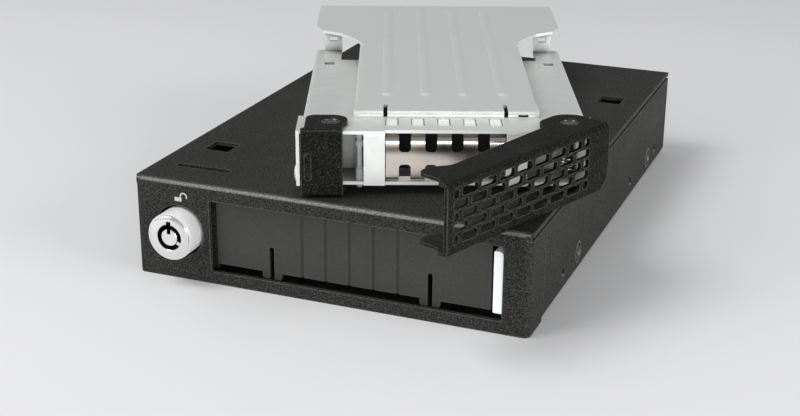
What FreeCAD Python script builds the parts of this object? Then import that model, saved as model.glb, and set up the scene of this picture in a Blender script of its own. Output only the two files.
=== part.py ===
import FreeCAD, Part
import math
import os

# A hot swap drive cage for one 3.5 inch device bay, with its 2.5 inch drive tray taken out.
# The tray lies upside down on the cage, turned on it, with its handle swung open.
# X runs to the right, Y to the rear and Z up; lengths are millimetres.
# Pieces are built with Y = 0 at the front face, then moved so that the origin is the middle of the underside.

V = FreeCAD.Vector

# Cage
cage_width = 101.6
cage_height = 25.4
cage_depth = 143.5
cage_sheet = 1.0
bend_radius = 0.6
flange_depth = 10.0
flange_seam = 0.9
roof_gap = 0.8
corner_relief = 1.1

# Tray opening in the front
opening_left = -30.4
opening_width = 74.6
opening_bottom = 3.2
opening_height = 18.4

# Mounting holes in the sides of the cage, for M3 screws
side_hole_radius = 1.5
side_hole_z = 5.0
side_hole_first = 28.0
side_hole_floppy_spacing = 70.0
side_hole_disk_spacing = 101.6

# Case screws
case_screw_z = 5.3
case_screw_places = (41.9, 120.0)
case_screw_head = 2.9
case_screw_shank = 1.5
case_screw_length = 4.0
case_screw_cone = 1.4
tab_half_length = 5.0
tab_low = 2.2

# Windows in the roof
window_size = 6.8
window_inset = 9.4
window_front = 27.8
window_rear = 108.0
roof_slot_length = 14.7
roof_slot_width = 2.1
roof_slot_x = -37.8
roof_slot_y = 11.4

# Door flap
door_inset = 2.2
door_sheet = 0.9
door_side_gap = 0.9
door_right_gap = 3.4
door_foot_z = 2.9
door_edge_z = 4.6
door_foot_width = 5.1
door_foot_spacing = 40.8
door_slot_width = 1.3
door_slot_height = 8.3
door_groove_count = 5
door_groove_pitch = 6.15
door_groove_depth = 0.5
pin_radius = 0.75
pin_fit = 0.06
knuckle_wall = 0.5
pin_drop = 1.5
pin_y = 3.6
knuckle_length = 8.0
knuckle_play = 0.4
ear_offset = 6.2
spring_room = 9.0
spring_wire = 0.25
spring_turns = 5
spring_leg = 8.0
spring_leg_radius = 0.2

# Key lock
lock_x = -38.8
lock_z = 12.7
lock_radius = 6.1
lock_face_radius = 5.2
lock_reach = 6.0
lock_neck_radius = 4.9
lock_neck_end = 22.0
lock_hole_gap = 0.5
keyway_outer = 3.1
keyway_inner = 1.95
keyway_depth = 5.0
barrel_notch_width = 1.2
barrel_notch_height = 1.0
plug_notch_width = 1.0
plug_notch_low = 0.9
plug_notch_depth = 1.6
keyway_tooth = 0.9
keyway_tooth_turn = 122.0
plug_fit = 0.08
lock_bracket_y = 5.0
lock_bracket_foot = 5.0
lock_nut_flats = 13.0
lock_nut_height = 3.0
cam_y = 23.4
cam_sheet = 1.5
cam_reach = 10.5
cam_width = 6.0
cam_square = 3.6
cam_screw_radius = 1.0
cam_screw_depth = 2.0
cam_screw_head = 2.7
cam_screw_head_height = 1.4

# Backplane
board_room = 18.5
board_tab_reach = 8.0
board_thickness = 1.6
board_side_gap = 1.8
board_bottom = 3.8
board_top = 22.4
socket_width = 42.0
socket_height = 5.2
socket_depth = 10.2
socket_floor = 10.5
socket_wall = 1.0
socket_mouth_depth = 6.0
socket_tongue = 1.2
data_slot_start = -18.6
data_slot_width = 11.0
power_slot_start = -4.6
power_slot_width = 22.8
rear_vent_count = 14
rear_vent_pitch = 6.0
rear_vent_width = 2.4
rear_vent_low = 16.2
rear_vent_high = 21.0
port_height = 6.4
port_rise = 4.2
port_depth = 7.0
port_wall = 1.2
port_blade_sheet = 1.2
port_blade_side = 1.0
data_port_x = -11.5
data_port_width = 16.8
power_port_x = 20.0
power_port_width = 30.0
port_gap = 0.3
board_screw_x = 45.0
board_screw_z = (8.0, 18.5)
board_screw_radius = 1.0
board_screw_head = 1.9
board_screw_head_height = 1.2

# Guide rails
rail_start = 27.0
rail_board_gap = 7.0
rail_clearance = 0.3
rail_wall = 2.0
rail_lead = 1.6
rail_depth = 5.2
rail_floor = 2.3
rail_floor_reach = 5.0
rail_top = 20.6
channel_low = 11.3
channel_high = 14.2
rail_screw_places = (40.0, 105.0)
rail_screw_head = 2.2
rail_screw_shank = 1.1
rail_screw_length = 3.0

# Light guide
guide_width = 2.2
guide_height = 15.2
guide_bottom = 4.9
guide_inset = 0.4
guide_block = 4.1
guide_rod = 2.4
led_depth = 1.6
led_foot = 0.6

# Tray, in its own frame: u across, v to the rear from its front face, w up from its underside
tray_x = 25.6
tray_y = 13.8
tray_turn = 21.8
tray_half_width = 35.4
tray_length = 122.5
tray_height = 17.6
tray_sheet = 0.8
tray_bend = 0.5
ledge_height = 11.4
plateau_half = 22.2
plateau_front = 13.0
shelf_front = 2.6
shelf_height = 16.0
lower_shelf = 2.4
ledge_rear = 92.8
ledge_cut = 81.7
wing_neck_lead = 16.8
column_inner = 27.8
column_outer = 32.8
column_slot_width = 2.2
column_slot_w = 14.2
column_slot_height = 1.2
ledge_hole = 2.7
ledge_hole_u = 30.9
ledge_hole_v = 78.0
wall_notch_front = 22.9
wall_notch_length = 3.0
wall_notch_low = 4.6
lip_slit_width = 1.0
lip_slit_rear = 18.5
lip_slits = (-14.6, 14.3)
lip_slot_u = 18.4
lip_slot_width = 2.4
lip_slot_w = 16.2
lip_slot_height = 0.5
shelf_window_count = 5
shelf_window_width = 3.1
shelf_window_front = 6.6
shelf_window_rear = 12.4
vent_pitch = 6.15
vent_centre = -0.7
bead_width = 2.9
bead_height = 0.4
bead_places = (-14.3, -4.7, 4.7, 14.3)
bead_front = 26.0
bead_rear = 118.0
tab_width = 5.0
lip_depth = 6.0
shelf_corner = 1.4
swing_corner = 5.0
ear_front = 2.2
right_wall_front = 15.6

# Vent plate
vent_left = -14.4
vent_right = 13.6
vent_front = 3.4
vent_sheet = 0.5
vent_gap = 0.2
vent_bend = 2.2
vent_slot_count = 4
vent_slot_width = 2.8
vent_slot_corner = 0.9
vent_slot_reach = 6.4
vent_top_reach = 8.6
vent_low_reach = 5.6
vent_top_row = 10.5
vent_low_row = 7.4

# Handle and release latch, both pivoting on upright pins
pivot_v = 7.6
handle_pivot_u = 28.9
latch_pivot_u = -27.5
flange_low = 0.5
flange_high = 16.9
flange_sheet = 0.75
face_sheet = 1.0
handle_hinge_end = 34.6
handle_free_end = -24.0
handle_open_turn = 47.5
handle_lobe = 5.6
handle_slot_length = 5.2
handle_slot_height = 2.0
handle_slot_clip = 0.45
handle_slot_pitch = 6.25
handle_row_pitch = 2.62
handle_row_count = 5
handle_top_row = 14.3
handle_slots_start = 8.0
handle_slots_end = 56.6
handle_corner_cut = 3.0
handle_rounding = 1.5
latch_left = -34.2
latch_right = -24.4
latch_lobe = 4.4
latch_rounding = 0.8
grip_left = -33.4
grip_width = 1.7
grip_low = 4.6
grip_high = 11.4
grip_rise = 0.6
pivot_pin_radius = 1.5
pivot_fit = 0.08
pivot_head = 2.6
pivot_cone = 0.75
pivot_spring_radius = 2.2
pivot_spring_wire = 0.4
pivot_spring_turns = 4
pivot_spring_low = 5.2
pivot_spring_leg_radius = 0.34
light_pipe_u = -20.6
light_pipe_radius = 0.65
light_pipe_tip = 1.5
light_pipe_setback = 2.4

# Worked out from the sizes above
half_width = cage_width / 2
column_middle = (column_inner + column_outer) / 2
wing_low = tray_height - tray_sheet
board_y = cage_depth - board_room
rail_end = board_y - rail_board_gap
wall_inside = half_width - cage_sheet
roof_under = cage_height - cage_sheet
wall_top = roof_under - roof_gap
opening_right = opening_left + opening_width
opening_top = opening_bottom + opening_height
guide_left = opening_right - 0.1 - guide_width
bay_left = opening_left + 0.2
bay_right = guide_left - 0.4
bay_centre = (bay_left + bay_right) / 2
pin_z = roof_under - pin_drop
knuckle_radius = pin_radius + pin_fit + knuckle_wall
door_left = opening_left + door_side_gap
door_right = opening_right - door_right_gap
door_centre = (opening_left + bay_right) / 2
door_top = pin_z - knuckle_radius - 0.4


def box(x0, y0, z0, x1, y1, z1):
    return Part.makeBox(x1 - x0, y1 - y0, z1 - z0, V(x0, y0, z0))


def cylinder(radius, start, end):
    return Part.makeCylinder(radius, (end - start).Length, start, end - start)


def cone(radius_start, radius_end, start, end):
    return Part.makeCone(radius_start, radius_end, (end - start).Length, start, end - start)


def fuse(shapes):
    return shapes[0].multiFuse(shapes[1:]).removeSplitter()


def xy_plane(z):
    return lambda a, b: V(a, b, z)


def xz_plane(y):
    return lambda a, b: V(a, y, b)


def yz_plane(x):
    return lambda a, b: V(x, a, b)


def rounded_wire(corners, plane):
    # Each corner is (a, b, radius); a radius above 0 becomes a tangent arc.
    count = len(corners)
    joints = []
    for index in range(count):
        a, b, radius = corners[index]
        here = V(a, b, 0)
        before = V(corners[index - 1][0], corners[index - 1][1], 0) - here
        after_corner = corners[(index + 1) % count]
        after = V(after_corner[0], after_corner[1], 0) - here
        if radius <= 0:
            joints.append((here, None, here))
            continue
        half = before.getAngle(after) / 2
        reach = radius / math.tan(half)
        before.normalize()
        after.normalize()
        middle = (before + after).normalize()
        bulge = radius / math.sin(half) - radius
        joints.append((here + before * reach, here + middle * bulge, here + after * reach))
    edges = []
    for index in range(count):
        start, bulge_point, end = joints[index]
        if bulge_point is not None:
            arc = Part.Arc(plane(start.x, start.y), plane(bulge_point.x, bulge_point.y), plane(end.x, end.y))
            edges.append(arc.toShape())
        next_start = joints[(index + 1) % count][0]
        if (next_start - end).Length > 1e-6:
            edges.append(Part.makeLine(plane(end.x, end.y), plane(next_start.x, next_start.y)))
    return Part.Wire(edges)


def slab(corners, plane, push):
    return Part.Face(rounded_wire(corners, plane)).extrude(push)


def bent_sheet(points, thickness, inner_radii, plane, push):
    # The points run along one face and the sheet lies on their right, with an inner radius for each bend.
    count = len(points)
    normals = []
    for index in range(count - 1):
        step_a = points[index + 1][0] - points[index][0]
        step_b = points[index + 1][1] - points[index][1]
        length = math.hypot(step_a, step_b)
        normals.append((step_b / length, -step_a / length))
    outer = []
    inner = []
    for index in range(count):
        first = normals[max(index - 1, 0)]
        second = normals[min(index, count - 2)]
        scale = thickness / (1 + first[0] * second[0] + first[1] * second[1])
        shift_a = (first[0] + second[0]) * scale
        shift_b = (first[1] + second[1]) * scale
        turn = first[0] * second[1] - first[1] * second[0]
        outer_radius = 0.0
        facing_radius = 0.0
        inner_radius = inner_radii[index - 1] if 0 < index < count - 1 else 0.0
        if turn < -1e-6:
            outer_radius = inner_radius + thickness
            facing_radius = inner_radius
        if turn > 1e-6:
            outer_radius = inner_radius
            facing_radius = inner_radius + thickness
        outer.append((points[index][0], points[index][1], outer_radius))
        inner.append((points[index][0] + shift_a, points[index][1] + shift_b, facing_radius))
    return slab(outer + inner[::-1], plane, push)


def upright_slot(centre, low, high, width, plane, push, round_low, round_high):
    low_radius = width / 2 - 0.01 if round_low else 0
    high_radius = width / 2 - 0.01 if round_high else 0
    left = centre - width / 2
    right = centre + width / 2
    corners = [(left, low, low_radius), (right, low, low_radius)]
    corners += [(right, high, high_radius), (left, high, high_radius)]
    return slab(corners, plane, push)


def countersunk(head_point, inward, head_radius, shank_radius, cone_depth, length):
    direction = V(inward).normalize()
    neck = head_point + direction * cone_depth
    head = cone(head_radius, shank_radius, head_point, neck)
    return head.fuse(cylinder(shank_radius, neck, head_point + direction * length)).removeSplitter()


def coil(radius, wire, turns, base, axis):
    # A close-wound coil, whose turns lie against each other round a plain bore.
    bore = radius - wire
    corners = [V(bore, 0, turns * 2 * wire), V(bore, 0, 0)]
    for turn in range(turns):
        corners.append(V(radius, 0, turn * 2 * wire))
        corners.append(V(radius + wire, 0, (2 * turn + 1) * wire))
    corners.append(V(radius, 0, turns * 2 * wire))
    corners.append(corners[0])
    wound = Part.Face(Part.makePolygon(corners)).revolve(V(0, 0, 0), V(0, 0, 1), 360)
    wound.Placement = FreeCAD.Placement(base, FreeCAD.Rotation(V(0, 0, 1), axis))
    return wound


def case_screw_shapes(extra):
    screws = []
    for side in (-1, 1):
        for place in case_screw_places:
            head = V(side * (half_width + extra), place, case_screw_z)
            depth = case_screw_cone + extra
            screws.append(countersunk(head, V(-side, 0, 0), case_screw_head, case_screw_shank, depth,
                                      case_screw_length))
    return screws


def make_cover():
    wide = 2 * half_width
    roof = box(-half_width, corner_relief, roof_under, half_width, cage_depth, cage_height)
    bend_end = corner_relief + 2 * cage_sheet
    bend = bent_sheet([(0, wall_top - cage_sheet), (0, cage_height), (bend_end, cage_height)],
                      cage_sheet, [bend_radius], yz_plane(-half_width + corner_relief),
                      V(wide - 2 * corner_relief, 0, 0))
    front = bent_sheet([(half_width, flange_depth), (half_width, 0),
                        (-half_width, 0), (-half_width, flange_depth)],
                       cage_sheet, [bend_radius] * 2, xy_plane(0), V(0, 0, wall_top))
    pieces = [roof, bend, front]
    for side in (-1, 1):
        outer = side * wall_inside
        inner = side * (wall_inside - cage_sheet)
        for place in case_screw_places:
            pieces.append(box(min(outer, inner), place - tab_half_length, tab_low,
                              max(outer, inner), place + tab_half_length, roof_under + 0.1))
    for start in hinge_ear_places():
        reach = pin_radius + knuckle_wall
        pieces.append(box(start, pin_y - reach, pin_z, start + cage_sheet, pin_y + reach, roof_under + 0.1))
        pieces.append(cylinder(reach, V(start, pin_y, pin_z), V(start + cage_sheet, pin_y, pin_z)))
    cover = fuse(pieces)
    cuts = []
    cuts.append(slab([(opening_left, opening_bottom, 0.5), (opening_right, opening_bottom, 0.5),
                      (opening_right, opening_top, 0.5), (opening_left, opening_top, 0.5)],
                     xz_plane(-1), V(0, 2.2, 0)))
    cuts.append(cylinder(lock_radius + lock_hole_gap, V(lock_x, -1, lock_z), V(lock_x, 2, lock_z)))
    for side in (-1, 1):
        centre_x = side * (half_width - window_inset)
        for centre_y in (window_front, window_rear):
            half = window_size / 2
            corners = [(centre_x - half, centre_y - half, 0.3), (centre_x + half, centre_y - half, 0.3),
                       (centre_x + half, centre_y + half, 0.3), (centre_x - half, centre_y + half, 0.3)]
            cuts.append(slab(corners, xy_plane(roof_under - 1), V(0, 0, 3)))
    half_slot = roof_slot_length / 2
    end_radius = roof_slot_width / 2 - 0.01
    corners = [(roof_slot_x - half_slot, roof_slot_y - roof_slot_width / 2, end_radius),
               (roof_slot_x + half_slot, roof_slot_y - roof_slot_width / 2, end_radius),
               (roof_slot_x + half_slot, roof_slot_y + roof_slot_width / 2, end_radius),
               (roof_slot_x - half_slot, roof_slot_y + roof_slot_width / 2, end_radius)]
    cuts.append(slab(corners, xy_plane(roof_under - 1), V(0, 0, 3)))
    ears = hinge_ear_places()
    cuts.append(cylinder(pin_radius, V(ears[0], pin_y, pin_z), V(ears[2] + cage_sheet, pin_y, pin_z)))
    cuts += case_screw_shapes(0)
    return cover.cut(cuts)


def hinge_ear_places():
    left = door_left - knuckle_play - cage_sheet
    middle = door_centre + ear_offset
    right = door_right + knuckle_play
    return (left, middle, right)


def mount_holes():
    holes = []
    for spacing in (0, side_hole_floppy_spacing, side_hole_disk_spacing):
        place = side_hole_first + spacing
        holes.append(cylinder(side_hole_radius, V(-half_width - 1, place, side_hole_z),
                              V(half_width + 1, place, side_hole_z)))
    return holes


def port_outline(centre, width, gap):
    low = board_bottom + port_rise - gap
    high = low + port_height + 2 * gap
    left = centre - width / 2 - gap
    right = centre + width / 2 + gap
    return [(left, low, 0.6), (right, low, 0.6), (right, high, 0.6), (left, high, 0.6)]


def make_base_pan():
    seam = flange_depth + flange_seam
    pan = bent_sheet([(half_width, wall_top), (half_width, 0), (-half_width, 0), (-half_width, wall_top)],
                     cage_sheet, [bend_radius] * 2, xz_plane(seam), V(0, cage_depth - seam, 0))
    tongue_half = wall_inside - bend_radius - 0.4
    tongue = box(-tongue_half, cage_sheet + 0.1, 0, tongue_half, seam + 1, cage_sheet)
    rear = box(-wall_inside - 0.1, cage_depth - cage_sheet, cage_sheet / 2,
               wall_inside + 0.1, cage_depth, wall_top)
    pieces = [pan, tongue, rear]
    tab_front = board_y + board_thickness
    for side in (-1, 1):
        inner = side * (wall_inside - board_tab_reach)
        outer = side * (wall_inside + 0.1)
        pieces.append(box(min(inner, outer), tab_front, board_bottom + 0.4,
                          max(inner, outer), tab_front + cage_sheet, board_top - 0.8))
    pan = fuse(pieces)
    cuts = mount_holes()
    for centre, width in ((data_port_x, data_port_width), (power_port_x, power_port_width)):
        cuts.append(slab(port_outline(centre, width, port_gap), xz_plane(cage_depth - 2 * cage_sheet),
                         V(0, 4 * cage_sheet, 0)))
    behind = xz_plane(cage_depth - 2 * cage_sheet)
    for index in range(rear_vent_count):
        centre = (index - (rear_vent_count - 1) / 2) * rear_vent_pitch
        cuts.append(upright_slot(centre, rear_vent_low, rear_vent_high, rear_vent_width, behind,
                                 V(0, 4 * cage_sheet, 0), True, True))
    for head in rail_screw_heads():
        cuts.append(countersunk(head, V(0, 0, 1), rail_screw_head, rail_screw_shank, cage_sheet,
                                rail_screw_length))
    for x in (-board_screw_x, board_screw_x):
        for z in board_screw_z:
            cuts.append(cylinder(board_screw_radius, V(x, tab_front - 1, z),
                                 V(x, tab_front + 2 * cage_sheet, z)))
    cuts += case_screw_shapes(0)
    return pan.cut(cuts)


def rail_profile(side):
    near = bay_centre + side * (tray_half_width + rail_clearance)
    lip_end = near + side * (rail_depth - rail_wall)
    far = near + side * rail_depth
    reach = near - side * rail_floor_reach
    floor = cage_sheet + rail_floor
    return [(reach, cage_sheet, 0), (far, cage_sheet, 0), (far, rail_top, 0.6), (near, rail_top, 0.6),
            (near, channel_high, 0.4), (lip_end, channel_high, 0.4), (lip_end, channel_low, 0.4),
            (near, channel_low, 0.4), (near, floor, 0.4), (reach, floor, 0.8)]


def make_guide_rail(side):
    rail = slab(rail_profile(side), xz_plane(rail_start), V(0, rail_end - rail_start, 0))
    near = bay_centre + side * (tray_half_width + rail_clearance)
    wedge = Part.Face(Part.makePolygon([V(near, rail_start, 0), V(near + side * rail_lead, rail_start, 0),
                                        V(near, rail_start + 4 * rail_lead, 0), V(near, rail_start, 0)]))
    cuts = [wedge.extrude(V(0, 0, cage_height))]
    for head in rail_screw_heads():
        cuts.append(cylinder(rail_screw_shank, head, head + V(0, 0, rail_screw_length)))
    return rail.cut(cuts)


def rail_screw_heads():
    heads = []
    for side in (-1, 1):
        x = bay_centre + side * (tray_half_width + rail_clearance + 1.2)
        for place in rail_screw_places:
            heads.append(V(x, place, 0))
    return heads


def make_light_guide():
    left = guide_left
    right = guide_left + guide_width
    top = guide_bottom + guide_height
    block = slab([(left, guide_bottom, 0.3), (right, guide_bottom, 0.3), (right, top, 1.0), (left, top, 0.3)],
                 xz_plane(guide_inset), V(0, guide_block, 0))
    rod_low = channel_low + 0.1
    rod = box(left + 0.1, guide_inset + guide_block - 0.5, rod_low,
              right - 0.1, board_y - led_depth - 0.3, rod_low + guide_rod)
    return fuse([block, rod])


def make_status_led():
    middle = channel_low + 0.1 + guide_rod / 2
    lens = box(guide_left + 0.2, board_y - led_depth, middle - 1.0,
               guide_left + guide_width - 0.2, board_y - led_foot, middle + 1.0)
    foot = box(guide_left - 0.2, board_y - led_foot, middle - 1.4,
               guide_left + guide_width + 0.2, board_y, middle + 1.4)
    return fuse([lens, foot])


def knuckle_places():
    left, middle, right = hinge_ear_places()
    return (left + cage_sheet + knuckle_play, middle - knuckle_play - knuckle_length,
            middle + cage_sheet + knuckle_play + spring_room, right - knuckle_play - knuckle_length)


def make_door_flap():
    back = door_inset + door_sheet
    plate = box(door_left, door_inset, door_edge_z, door_right, back, door_top)
    pieces = [plate]
    foot_centres = (door_centre - door_foot_spacing / 2, door_centre + door_foot_spacing / 2)
    for centre in foot_centres:
        half = door_foot_width / 2
        pieces.append(slab([(centre - half, door_foot_z, 0.6), (centre + half, door_foot_z, 0.6),
                            (centre + half, door_edge_z + 1, 0), (centre - half, door_edge_z + 1, 0)],
                           xz_plane(door_inset), V(0, door_sheet, 0)))
    for start in knuckle_places():
        barrel = cylinder(knuckle_radius, V(start, pin_y, pin_z), V(start + knuckle_length, pin_y, pin_z))
        arm = box(start, door_inset, door_top - 0.5, start + knuckle_length, back, pin_z)
        pieces += [barrel, arm]
    door = fuse(pieces)
    cuts = []
    for start in knuckle_places():
        cuts.append(cylinder(pin_radius + pin_fit, V(start - 1, pin_y, pin_z),
                             V(start + knuckle_length + 1, pin_y, pin_z)))
    for centre in foot_centres:
        cuts.append(upright_slot(centre, door_foot_z - 1, door_foot_z + door_slot_height, door_slot_width,
                                 xz_plane(door_inset - 1), V(0, door_sheet + 2, 0), False, True))
    first = door_centre - door_groove_pitch * (door_groove_count - 1) / 2
    for index in range(door_groove_count):
        centre = first + index * door_groove_pitch
        vee = [(centre - door_groove_depth, door_inset, 0), (centre + door_groove_depth, door_inset, 0),
               (centre, door_inset + door_groove_depth, 0)]
        cuts.append(slab(vee, xy_plane(0), V(0, 0, cage_height)))
    return door.cut(cuts)


def make_door_pin():
    left, middle, right = hinge_ear_places()
    return cylinder(pin_radius, V(left, pin_y, pin_z), V(right + cage_sheet, pin_y, pin_z))


def make_door_spring():
    start = hinge_ear_places()[1] + cage_sheet + 0.6
    radius = pin_radius + 0.12 + spring_wire
    wound = coil(radius, spring_wire, spring_turns, V(start, pin_y, pin_z), V(1, 0, 0))
    leg_start = V(start + spring_wire, pin_y, pin_z + radius)
    leg = cylinder(spring_leg_radius, leg_start, leg_start + V(0, spring_leg, 0))
    return fuse([wound, leg])


def make_lock_bracket():
    left = -wall_inside + 1.2
    right = opening_left - 0.6
    y = lock_bracket_y
    upright = box(left, y, 2.0, right, y + cage_sheet, roof_under)
    foot = box(left, y, roof_under - cage_sheet, right, y + lock_bracket_foot, roof_under)
    bracket = fuse([upright, foot])
    slot = box(left - 1, roof_slot_y - 1.4, roof_under - 2, right + 1, roof_slot_y + 1.4, roof_under + 1)
    return bracket.cut([cylinder(lock_neck_radius, V(lock_x, y - 1, lock_z), V(lock_x, y + 2, lock_z)), slot])


def make_lock_body():
    bevel = lock_radius - lock_face_radius
    face = -lock_reach
    outline = [(keyway_outer, face), (lock_face_radius, face), (lock_radius, face + bevel),
               (lock_radius, lock_bracket_y), (lock_neck_radius, lock_bracket_y),
               (lock_neck_radius, lock_neck_end), (keyway_outer, lock_neck_end), (keyway_outer, face)]
    points = []
    for radius, y in outline:
        points.append(V(lock_x + radius, y, lock_z))
    barrel = Part.Face(Part.makePolygon(points)).revolve(V(lock_x, 0, lock_z), V(0, 1, 0), 360)
    half = barrel_notch_width / 2
    notch = box(lock_x - half, face - 1, lock_z, lock_x + half, face + keyway_depth,
                lock_z + keyway_outer + barrel_notch_height)
    half = keyway_tooth / 2
    tooth = box(lock_x - half, face + 0.3, lock_z + keyway_inner + plug_fit,
                lock_x + half, face + keyway_depth - plug_fit, lock_z + keyway_outer + 0.5)
    tooth.rotate(V(lock_x, 0, lock_z), V(0, 1, 0), keyway_tooth_turn)
    return barrel.cut(notch).fuse(tooth)


def make_lock_nut():
    y = lock_bracket_y + cage_sheet
    corners = []
    for index in range(6):
        angle = math.radians(60 * index)
        reach = lock_nut_flats / 2 / math.cos(math.radians(30))
        corners.append((lock_x + reach * math.cos(angle), lock_z + reach * math.sin(angle), 0))
    nut = slab(corners, xz_plane(y), V(0, lock_nut_height, 0))
    return nut.cut(cylinder(lock_neck_radius, V(lock_x, y - 1, lock_z),
                            V(lock_x, y + lock_nut_height + 1, lock_z)))


def make_lock_plug():
    face = -lock_reach
    floor = face + keyway_depth
    body = cylinder(keyway_outer - plug_fit, V(lock_x, floor, lock_z), V(lock_x, lock_neck_end + 0.4, lock_z))
    post = cylinder(keyway_inner, V(lock_x, face, lock_z), V(lock_x, floor, lock_z))
    half = cam_square / 2
    tail = box(lock_x - half, lock_neck_end, lock_z - half, lock_x + half, cam_y + cam_sheet, lock_z + half)
    plug = fuse([body, post, tail])
    notch_half = plug_notch_width / 2
    notch = box(lock_x - notch_half, face - 1, lock_z + plug_notch_low,
                lock_x + notch_half, face + plug_notch_depth, lock_z + keyway_outer)
    bore = cylinder(cam_screw_radius, V(lock_x, cam_y - cam_screw_depth, lock_z),
                    V(lock_x, cam_y + 2 * cam_sheet, lock_z))
    return plug.cut([notch, bore])


def make_lock_cam():
    half = cam_width / 2
    tip = lock_z + cam_reach
    wide = half + 0.6
    corners = [(lock_x - wide, lock_z - wide, 2.6), (lock_x + wide, lock_z - wide, 2.6),
               (lock_x + half, tip, 1.0), (lock_x - half, tip, 1.0)]
    plate = slab(corners, xz_plane(cam_y), V(0, cam_sheet, 0))
    hole = cam_square / 2
    return plate.cut(box(lock_x - hole, cam_y - 1, lock_z - hole, lock_x + hole, cam_y + 3, lock_z + hole))


def make_cam_screw():
    seat = V(lock_x, cam_y + cam_sheet, lock_z)
    head = cylinder(cam_screw_head, seat, seat + V(0, cam_screw_head_height, 0))
    shank = cylinder(cam_screw_radius, V(lock_x, cam_y - cam_screw_depth, lock_z), seat)
    return fuse([head, shank])


def make_board():
    edge = wall_inside - board_side_gap
    board = box(-edge, board_y, board_bottom, edge, board_y + board_thickness, board_top)
    cuts = []
    for x in (-board_screw_x, board_screw_x):
        for z in board_screw_z:
            cuts.append(cylinder(board_screw_radius, V(x, board_y - 1, z),
                                 V(x, board_y + 2 * board_thickness, z)))
    return board.cut(cuts)


def make_board_screws():
    screws = []
    for x in (-board_screw_x, board_screw_x):
        for z in board_screw_z:
            head = cylinder(board_screw_head, V(x, board_y - board_screw_head_height, z), V(x, board_y, z))
            shank = cylinder(board_screw_radius, V(x, board_y, z),
                             V(x, board_y + board_thickness + cage_sheet, z))
            screws.append(fuse([head, shank]))
    return Part.Compound(screws)


def make_drive_socket():
    front = board_y - socket_depth
    low = socket_floor
    high = low + socket_height
    half = socket_width / 2
    mouth = front + socket_mouth_depth
    body = box(bay_centre - half, front, low, bay_centre + half, board_y, high)
    cuts = []
    tongue_low = low + 1.6 * socket_wall
    for start, width in ((data_slot_start, data_slot_width), (power_slot_start, power_slot_width)):
        left = bay_centre + start
        right = left + width
        recess = box(left, front - 1, low + socket_wall, right, mouth, high - socket_wall)
        tongue = box(left, front - 1, tongue_low, right, mouth, tongue_low + socket_tongue)
        cuts.append(recess.cut(tongue))
    return body.cut(cuts)


def make_port(centre, width):
    start = board_y + board_thickness
    body = slab(port_outline(centre, width, 0), xz_plane(start), V(0, cage_depth - start - 0.2, 0))
    low = board_bottom + port_rise
    half = width / 2 - port_wall
    mouth = cage_depth - port_depth
    recess = box(centre - half, mouth, low + port_wall,
                 centre + half, cage_depth + 1, low + port_height - port_wall)
    blade_half = half - port_blade_side
    blade_low = low + 2 * port_wall
    blade = box(centre - blade_half, mouth - 1, blade_low,
                centre + blade_half, cage_depth + 1, blade_low + port_blade_sheet)
    return body.cut(recess.cut(blade))


def make_rail_screws():
    screws = []
    for head in rail_screw_heads():
        screws.append(countersunk(head, V(0, 0, 1), rail_screw_head, rail_screw_shank, cage_sheet,
                                  rail_screw_length))
    return Part.Compound(screws)


def across(shapes):
    # Mirrors tray features about the tray's middle plane.
    return shapes + [shape.mirror(V(0, 0, 0), V(1, 0, 0)) for shape in shapes]


def wing_outline():
    # Each side leaves the plateau in a swept curve and ends in a straight edge at the tray's rear.
    neck = ledge_rear - wing_neck_lead
    half = [(plateau_half - 0.5, neck, 0), (plateau_half, neck + 2.5, 0.4),
            (plateau_half + 1.4, neck + 5.6, 1.0), (column_inner + 0.2, neck + 12.0, 2.0),
            (tray_half_width - 2.0, ledge_rear - 1.4, 2.0),
            (tray_half_width, ledge_rear + 3.7, 2.0), (tray_half_width, tray_length, 1.4)]
    left = []
    for u, v, radius in half[::-1]:
        left.append((-u, v, radius))
    return half + left


def make_bead(centre):
    half = bead_width / 2
    radius = (half * half + bead_height * bead_height) / (2 * bead_height)
    w = tray_height + bead_height - radius
    rod = cylinder(radius, V(centre, bead_front + half, w), V(centre, bead_rear - half, w))
    front_end = Part.makeSphere(radius, V(centre, bead_front + half, w))
    rear_end = Part.makeSphere(radius, V(centre, bead_rear - half, w))
    slice_box = box(centre - bead_width, bead_front - bead_width, tray_height - tray_sheet / 2,
                    centre + bead_width, bead_rear + bead_width, tray_height + bead_width)
    return rod.fuse([front_end, rear_end]).common(slice_box)


def make_hat():
    # The folded channel that holds the drive, from the front lip to the ends of its side ledges.
    half = tray_half_width
    profile = [(-half, 0), (-half, ledge_height), (-plateau_half, ledge_height), (-plateau_half, tray_height),
               (plateau_half, tray_height), (plateau_half, ledge_height), (half, ledge_height), (half, 0)]
    length = ledge_rear - plateau_front
    hat = bent_sheet(profile, tray_sheet, [tray_bend] * 6, xz_plane(plateau_front), V(0, length, 0))
    cuts = across([box(plateau_half - tray_sheet - 0.1, ledge_cut, ledge_height - 3,
                       column_inner, ledge_rear + 1, wing_low)])
    cuts.append(box(half - 2 * tray_sheet, 0, -1, half + 1, right_wall_front, ledge_height + 1))
    cuts.append(box(half - 2 * tray_sheet, wall_notch_front, wall_notch_low,
                    half + 1, wall_notch_front + wall_notch_length, ledge_height + 1))
    hole = ledge_hole / 2
    cuts += across([box(ledge_hole_u - hole, ledge_hole_v - hole, ledge_height - 2,
                        ledge_hole_u + hole, ledge_hole_v + hole, ledge_height + 1)])
    return hat.cut(cuts)


def make_wing():
    wing = slab(wing_outline(), xy_plane(wing_low), V(0, 0, tray_sheet))
    columns = across([box(column_inner, ledge_rear - tray_sheet, ledge_height - tray_sheet,
                          column_outer, ledge_rear, tray_height - tray_sheet / 2)])
    slot = column_slot_width / 2
    slots = across([box(column_middle - slot, ledge_rear - 2, column_slot_w,
                        column_middle + slot, ledge_rear + 1, column_slot_w + column_slot_height)])
    return fuse([wing] + columns).cut(slots)


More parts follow.
